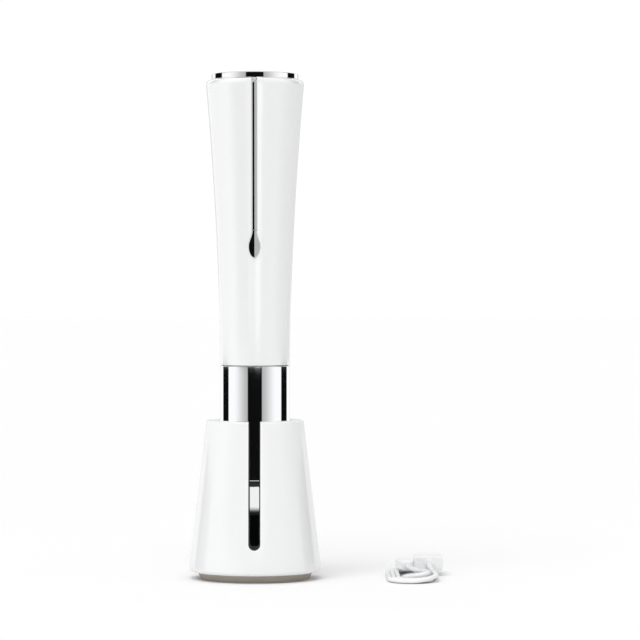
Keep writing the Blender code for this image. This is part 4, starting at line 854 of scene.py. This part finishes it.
def stand_radius(z):
    return STAND_BOTTOM_R + (STAND_TOP_R - STAND_BOTTOM_R) * (z - SHELL_Z) / (STAND_TOP_Z - SHELL_Z)


def slot_side(half, z, front):
    """A level section behind the slot: `half` wide each way, and forward to y = front."""
    back = -20 * MM
    return [(-half, back, z), (half, back, z), (half, front, z), (-half, front, z)]


def slot_cheeks():
    """The two walls beside the slot, as one block that the slot is cut from later."""
    half = SLOT_HALF + CHEEK
    sections = []
    for z in (SLOT_BOTTOM - CHEEK, RIM_Z - GAP):
        inner = stand_radius(z) - STAND_WALL - GAP
        sections.append(slot_side(half, z, -math.sqrt(inner**2 - half**2)))
    return loft(sections)


def slot_shade_lips():
    """Thin dark edges that line the shell's slot, almost up to its outside. They are painted shade:
    a dark lining over the slot's white sides, where shade would fall.
    """
    sections = []
    for z in (SLOT_BOTTOM - MM, STAND_TOP_Z - 0.5 * MM):
        sections.append(slot_side(SLOT_HALF + 1.0 * MM, z, SHADE_LIP - stand_radius(z)))
    shade_lips = mesh_object("shade_lips", loft(sections))
    carve(shade_lips, slot_tool(0.1 * MM), "INTERSECT")
    shape = bmesh.new()
    shape.from_mesh(shade_lips.data)
    bpy.data.objects.remove(shade_lips)
    return shape


def make_stand_shell():
    shell = mesh_object("stand_cone", lathe(dense(rounded([
        (STAND_BOTTOM_R - STAND_WALL, SHELL_Z, 0.3 * MM),
        (STAND_BOTTOM_R, SHELL_Z, 1.9 * MM),
        (STAND_TOP_R, STAND_TOP_Z, 1.2 * MM),
        (WELL_R + 0.2 * MM, STAND_TOP_Z, 0.6 * MM),
        (WELL_R + 0.2 * MM, RIM_Z, 0.2 * MM),
        (stand_radius(RIM_Z) - STAND_WALL, RIM_Z, 0.5 * MM),
    ]), 4 * MM)))
    carve(shell, slot_tool())
    soften(shell, 0.4 * MM, 60)
    finish_piece(shell, "stand", STAND_WHITE, "white_gloss", "stand_shell")
    hide_from(shell, "glossy")


def make_well():
    liner = mesh_object("stand_well", lathe(dense(rounded([
        (WELL_R, WELL_LOW_Z, 0), (LINER_R, WELL_LOW_Z, 0),
        (LINER_R, RIM_Z - GAP, 0.3 * MM), (WELL_R, RIM_Z - GAP, 0.3 * MM),
        (WELL_R, SEAL_TOP_Z, 0.5 * MM), (SEAT_R, SEAL_Z, 0.5 * MM),
        (SEAT_R, LEDGE_Z, 0.2 * MM), (LEDGE_R, LEDGE_Z, 0.4 * MM),
        (LEDGE_R, LEDGE_Z - 3 * MM, 0.4 * MM), (SEAT_R, LEDGE_Z - 3 * MM, 0.4 * MM),
        (SEAT_R, WELL_FLOOR_Z, 1.0 * MM), (0, WELL_FLOOR_Z, 0),
        (0, WELL_FLOOR_Z - 2 * MM, 0), (WELL_R, WELL_FLOOR_Z - 2 * MM, 0),
    ]), 5 * MM), 128))
    carve(liner, slot_cheeks(), "UNION")
    # Painted shade: dark lips cover the slot's white sides, and the liner's slot is made narrower
    # so that they show
    carve(liner, slot_shade_lips(), "UNION")
    carve(liner, slot_tool(SHADE_LIP))
    soften(liner, 0.25 * MM, 60)
    finish_piece(liner, "stand", WELL_BLACK, "black_plastic", "stand_liner")
    hide_from(liner, "glossy")


def make_foot():
    foot = mesh_object("foot_ring", lathe(dense(rounded([
        (0, 0, 0), (FOOT_R - 1.8 * MM, 0, 0.6 * MM), (FOOT_R - 0.3 * MM, 3.2 * MM, 0.3 * MM),
        (FOOT_R, FOOT_TOP, 0.2 * MM), (0, FOOT_TOP, 0),
    ]), 4 * MM), 160))
    finish_piece(foot, "stand", TAUPE, "foot_rubber", "foot_pad")


# ---------------------------------------------------------------- opener


def body_radius(z):
    share = max(0.0, (z - BODY_Z) / (SHOULDER_Z - BODY_Z))
    return COLLAR_R + 0.1 * MM + BODY_FLARE * share**FLARE_POWER


def body_front(low):
    """(radius, z) up the body's outside, then over its shoulder."""
    count = math.ceil((SHOULDER_Z - low) / (1.5 * MM))
    points = []
    for i in range(count):
        z = low + (SHOULDER_Z - low) * i / count
        points.append((body_radius(z), z))
    for i in range(11):
        turn = math.pi / 2 * i / 10
        radius = body_radius(SHOULDER_Z) - SHOULDER_IN * (1 - math.cos(turn))
        points.append((radius, SHOULDER_Z + (BODY_TOP_Z - SHOULDER_Z) * math.sin(turn)))
    return points


def drop_outline(grow=0.0):
    """Right side of the button, as (half width, z) from its lowest point to its top."""
    half, neck, belly = DROP_HALF + grow, TRIM_HALF + grow, DROP_BELLY + grow
    side = []
    for i in range(25):
        turn = math.pi / 2 * i / 24
        side.append((half * math.sin(turn), DROP_Z - belly * math.cos(turn)))
    for i in range(1, 25):
        share = i / 24
        wide = neck + (half - neck) * (1 + math.cos(math.pi * share)) / 2
        side.append((wide, DROP_Z + DROP_TAIL * share))
    return side


def both_sides(side):
    return side + [(-x, z) for x, z in reversed(side[1:])]


def along_front(path, section_of):
    """A bar along a (half width, radius, z) path up the body's front.

    `section_of` gives its section at a half width, as (x, height above the surface) points.
    """
    sections = []
    for i, (half, radius, z) in enumerate(path):
        _, before_r, before_z = path[max(i - 1, 0)]
        _, after_r, after_z = path[min(i + 1, len(path) - 1)]
        along = Vector((after_r - before_r, after_z - before_z)).normalized()
        out = Vector((along.y, -along.x))
        section = section_of(half)
        sections.append([(x, -(radius + out.x * o), z + out.y * o) for x, o in section])
    return loft(sections)


def ridge_strip(path, base, edge=0.0, crest=None):
    """A bar with a ridge down its middle.

    With a crest height, its two slopes are flat planes, and the sides meet them where they end.
    """

    def section_of(half):
        half = max(half, 0.02 * MM)
        soft = min(0.18 * MM, 0.3 * half)
        rise = (half - soft) * RIDGE_SLOPE
        side = crest - rise if crest else edge
        return [
            (-half, -base), (half, -base), (half, side - soft), (half - soft, side),
            (0, side + rise), (-half + soft, side), (-half, side - soft),
        ]

    return along_front(path, section_of)


def trim_path(extra_low=0.0, extra_high=0.0):
    front = [(TRIM_HALF, radius, z) for radius, z in body_front(TRIM_Z - extra_low)]
    return front + [(TRIM_HALF, CAP_R + GAP - extra_high, BODY_TOP_Z)]


def groove_tool():
    """Cuts the groove that the trim lies in."""

    def section_of(half):
        half += 0.22 * MM
        return [(-half, -1.0 * MM), (half, -1.0 * MM), (half, 3 * MM), (-half, 3 * MM)]

    return along_front(trim_path(GAP, 1.6 * MM), section_of)


def make_body():
    inside = [(BODY_MOUTH_R, BODY_TOP_Z), (BODY_MOUTH_R, BODY_MOUTH_LOW + 2 * MM)]
    steps = 24
    for i in range(steps + 1):
        z = BODY_MOUTH_LOW + (BODY_Z - BODY_MOUTH_LOW) * i / steps
        inside.append((body_radius(z) - BODY_WALL, z))
    outside = body_front(BODY_Z + 0.35 * MM)
    low_r = body_radius(BODY_Z)
    lower = [(low_r - 0.35 * MM, BODY_Z), (low_r - 0.1 * MM, BODY_Z + 0.1 * MM)]
    body = mesh_object("flared_body", lathe(lower + outside + inside))
    carve(body, groove_tool())
    carve(body, along_y(both_sides(drop_outline(0.25 * MM)), -30 * MM, -12 * MM))
    low, high, corner = PORT_Z - PORT_HALF_H, PORT_Z + PORT_HALF_H, 0.7 * MM
    port = rounded([
        (-PORT_HALF_W, low, corner), (PORT_HALF_W, low, corner),
        (PORT_HALF_W, high, corner), (-PORT_HALF_W, high, corner),
    ])
    carve(body, along_y(port, 15 * MM, 32 * MM))
    soften(body, 0.12 * MM, 60, 2)
    finish_piece(body, "opener", WHITE, "white_gloss", "body_shell")


def make_drop():
    path = [(half, body_radius(z), z) for half, z in drop_outline()]
    drop = mesh_object("drop_key", ridge_strip(path, 3.2 * MM, crest=0.85 * MM), sharp=14)
    flange = along_y(both_sides(drop_outline(0.7 * MM)), -17.8 * MM, -17.1 * MM)
    carve(drop, flange, "UNION")
    stem = arc(0, DROP_Z, 1.3 * MM, 0, 345, 23)
    carve(drop, along_y(stem, -17.2 * MM, -15.9 * MM), "UNION")
    settle(drop, 14)
    finish_piece(drop, "button", MIRROR, "chrome", "drop_button")


def make_trim():
    strip = mesh_object("trim_ridge", ridge_strip(trim_path(), 0.7 * MM, 0.14 * MM), sharp=14)
    finish_piece(strip, "opener", MIRROR, "chrome", "trim_strip")


def make_collar():
    bore = COLLAR_R - COLLAR_WALL
    collar = mesh_object("mirror_collar", lathe(dense(rounded([
        (bore, COLLAR_Z, 0.2 * MM), (COLLAR_R, COLLAR_Z, 0.45 * MM),
        (COLLAR_R, COLLAR_TOP_Z, 0.35 * MM), (bore, COLLAR_TOP_Z, 0.2 * MM),
    ]), 8 * MM)))
    finish_piece(collar, "opener", MIRROR, "chrome", "collar")


def make_seal():
    seal = mesh_object("collar_seal", lathe(rounded([
        (SEAL_BORE_R, SEAL_Z, 0.3 * MM), (SEAL_R, SEAL_Z, 0.4 * MM),
        (SEAL_R, SEAL_TOP_Z, 0.4 * MM), (SEAL_BORE_R, SEAL_TOP_Z, 0.3 * MM),
    ]), 128))
    finish_piece(seal, "opener", GASKET_RUBBER, "gasket_rubber", "collar_gasket")


def make_mouth():
    lip_r, lip_wide, lip_high = 15.45 * MM, 1.4 * MM, 4.4 * MM
    curve = []
    for i in range(13):
        turn = math.pi / 2 * i / 12
        radius = lip_r + lip_wide * math.sin(turn)
        curve.append((radius, MOUTH_Z + lip_high * (1 - math.cos(turn)), 0))
    mouth = mesh_object("mouth_ring", lathe(dense(rounded([
        (NECK_R, MOUTH_Z + 0.3 * MM, 0), *curve, (MOUTH_R, MOUTH_TOP_Z, 0.3 * MM),
        (NECK_OUTER_R, MOUTH_TOP_Z, 0.2 * MM), (NECK_OUTER_R, NECK_TOP_Z, 0.2 * MM),
        (NECK_R, NECK_TOP_Z, 0.2 * MM),
    ]), 4 * MM), 160))
    finish_piece(mouth, "opener", MOUTH_METAL, "chrome", "mouth_guide")


def make_cap():
    edge_z = CAP_Z + CAP_EDGE_H

    def dome(share):
        return (CAP_R * share, edge_z + CAP_DOME * (1 - share**2))

    points = [dome(i / 28) for i in range(29)]
    softened = [point for point in points if point[0] < CAP_R - 0.35 * MM]
    lip = [
        (CAP_R - 0.3 * MM, edge_z + 0.02 * MM), (CAP_R - 0.1 * MM, edge_z - 0.1 * MM),
        (CAP_R, edge_z - 0.3 * MM), (CAP_R, CAP_Z + 0.15 * MM), (CAP_R - 0.15 * MM, CAP_Z),
    ]
    skirt = [
        (SKIRT_R, CAP_Z), (SKIRT_R, BODY_MOUTH_LOW),
        (SKIRT_BORE_R, BODY_MOUTH_LOW), (SKIRT_BORE_R, CAP_Z),
    ]
    under = [(SKIRT_BORE_R * share, dome(share)[1] - MM) for share in (0.85, 0.5, 0)]
    cap = mesh_object("domed_cap", lathe(softened + lip + skirt + under))
    finish_piece(cap, "opener", MIRROR, "chrome", "top_cap")


# ---------------------------------------------------------------- studio


def dress_frame():
    """Gives every carried CAD node the finish of its slot."""
    slots = {entry["node"]: entry["material_slot"] for entry in frame["record"]["subparts"]}
    for node, piece in frame["nodes"].items():
        piece.data.materials.clear()
        piece.data.materials.append(SLOT_FINISH[slots[node]].material)


def make_floor():
    mesh = bpy.data.meshes.new("floor")
    reach = 12.0
    corners = [(x * reach, y * reach, 0) for x, y in ((-1, -1), (1, -1), (1, 1), (-1, 1))]
    mesh.from_pydata(corners, [], [(0, 1, 2, 3)])
    floor = new_object("floor", mesh)
    paper = Finish("studio_floor", (0.89, 0.89, 0.89), 0.85, constants={"Specular IOR Level": 0.1})
    paper.feed("Roughness", 0.8 + 0.1 * paper.noise(60.0))
    mesh.materials.append(paper.material)


def light_up(finish, tone, strength):
    """Makes a finish glow in greys of the tone."""
    finish.feed("Emission Color", finish.node("ShaderNodeCombineColor", None, (tone, tone, tone)))
    finish.shader.inputs["Emission Strength"].default_value = strength


def make_reflector():
    """A ring of light and dark panels that only gloss sees. It stands round the object."""
    reach, height = 0.62, 1.3
    shape = bmesh.new()
    count = 180
    low = []
    high = []
    for i in range(count + 1):
        turn = math.radians(-150 + 300 * i / count)
        x, y = reach * math.sin(turn), -reach * math.cos(turn)
        low.append(shape.verts.new((x, y, 0.001)))
        high.append(shape.verts.new((x, y, height)))
    for i in range(count):
        shape.faces.new((low[i], low[i + 1], high[i + 1], high[i]))
    mesh = mesh_of("reflector", shape)
    ring = new_object("reflector", mesh)
    panel = Finish("panel_tones", (0, 0, 0), 1.0, constants={"Specular IOR Level": 0.0})
    degrees = panel.axis("X").bearing(0.0 - panel.axis("Y")) * (180 / math.pi)
    away = degrees.size()
    tall = panel.axis("Z")
    # Brighter towards the sides all the way up
    fade = 0.46 + 0.54 * away.step(20.0, 74.0)
    # At the body's height: dark on the left, a glow right of the middle, a dimmer right side
    middle = tall.step(0.0995, 0.1025) * (1.0 - tall.step(0.298, 0.303))
    left = (1.0 - degrees.step(-72.0, -40.0)) + degrees.step(-22.0, -19.0)
    glow = 1.1 * degrees.step(-4.0, 7.0) * (1.0 - degrees.step(13.0, 23.5))
    right = 1.0 - 0.3 * degrees.step(50.0, 90.0)
    # Below and above it: a dark panel in front and one far round each side
    ends = away.step(21.5, 24.5)
    side = 1.0 - away.step(94.0, 97.0) * (1.0 - away.step(126.0, 130.0))
    light = middle * left * (fade * right + glow) + (1.0 - middle) * fade * ends * side + 0.004
    light_up(panel, light, 1.12)
    mesh.materials.append(panel.material)
    hide_from(ring, "camera", "diffuse", "shadow", "transmission", "volume_scatter")


def make_backdrop():
    """A wide shell that only the camera sees, so that the floor has no visible end."""
    shape = bmesh.new()
    bmesh.ops.create_uvsphere(shape, u_segments=48, v_segments=24, radius=25.0)
    mesh = mesh_of("backdrop", shape)
    dome = new_object("backdrop", mesh)
    sky = Finish("backdrop_white", (0, 0, 0), 1.0, constants={"Specular IOR Level": 0.0})
    light_up(sky, 1.02 + 0.01 * sky.noise(0.2), 1.0)
    mesh.materials.append(sky.material)
    hide_from(dome, "diffuse", "glossy", "shadow", "transmission", "volume_scatter")


def make_lights():
    world = bpy.data.worlds.new("studio")
    bpy.context.scene.world = world
    world.use_nodes = True
    background = world.node_tree.nodes["Background"]
    background.inputs["Color"].default_value = (1.0, 1.0, 1.0, 1.0)
    background.inputs["Strength"].default_value = 0.76
    data = bpy.data.lights.new("soft_key", "SUN")
    data.angle = math.radians(45)
    data.energy = 1.40
    key = new_object("soft_key", data)
    key.rotation_euler = Vector((0.38, 0.93, -1.5)).to_track_quat("-Z", "Y").to_euler()
    hide_from(key, "glossy")
    view = bpy.context.scene.view_settings
    view.view_transform = "Standard"
    view.look = "None"


make_camera()
make_cable()
dress_frame()
make_stand_shell()
make_well()
make_foot()
make_body()
make_drop()
make_trim()
make_collar()
make_seal()
make_mouth()
make_cap()
make_floor()
make_reflector()
make_backdrop()
make_lights()
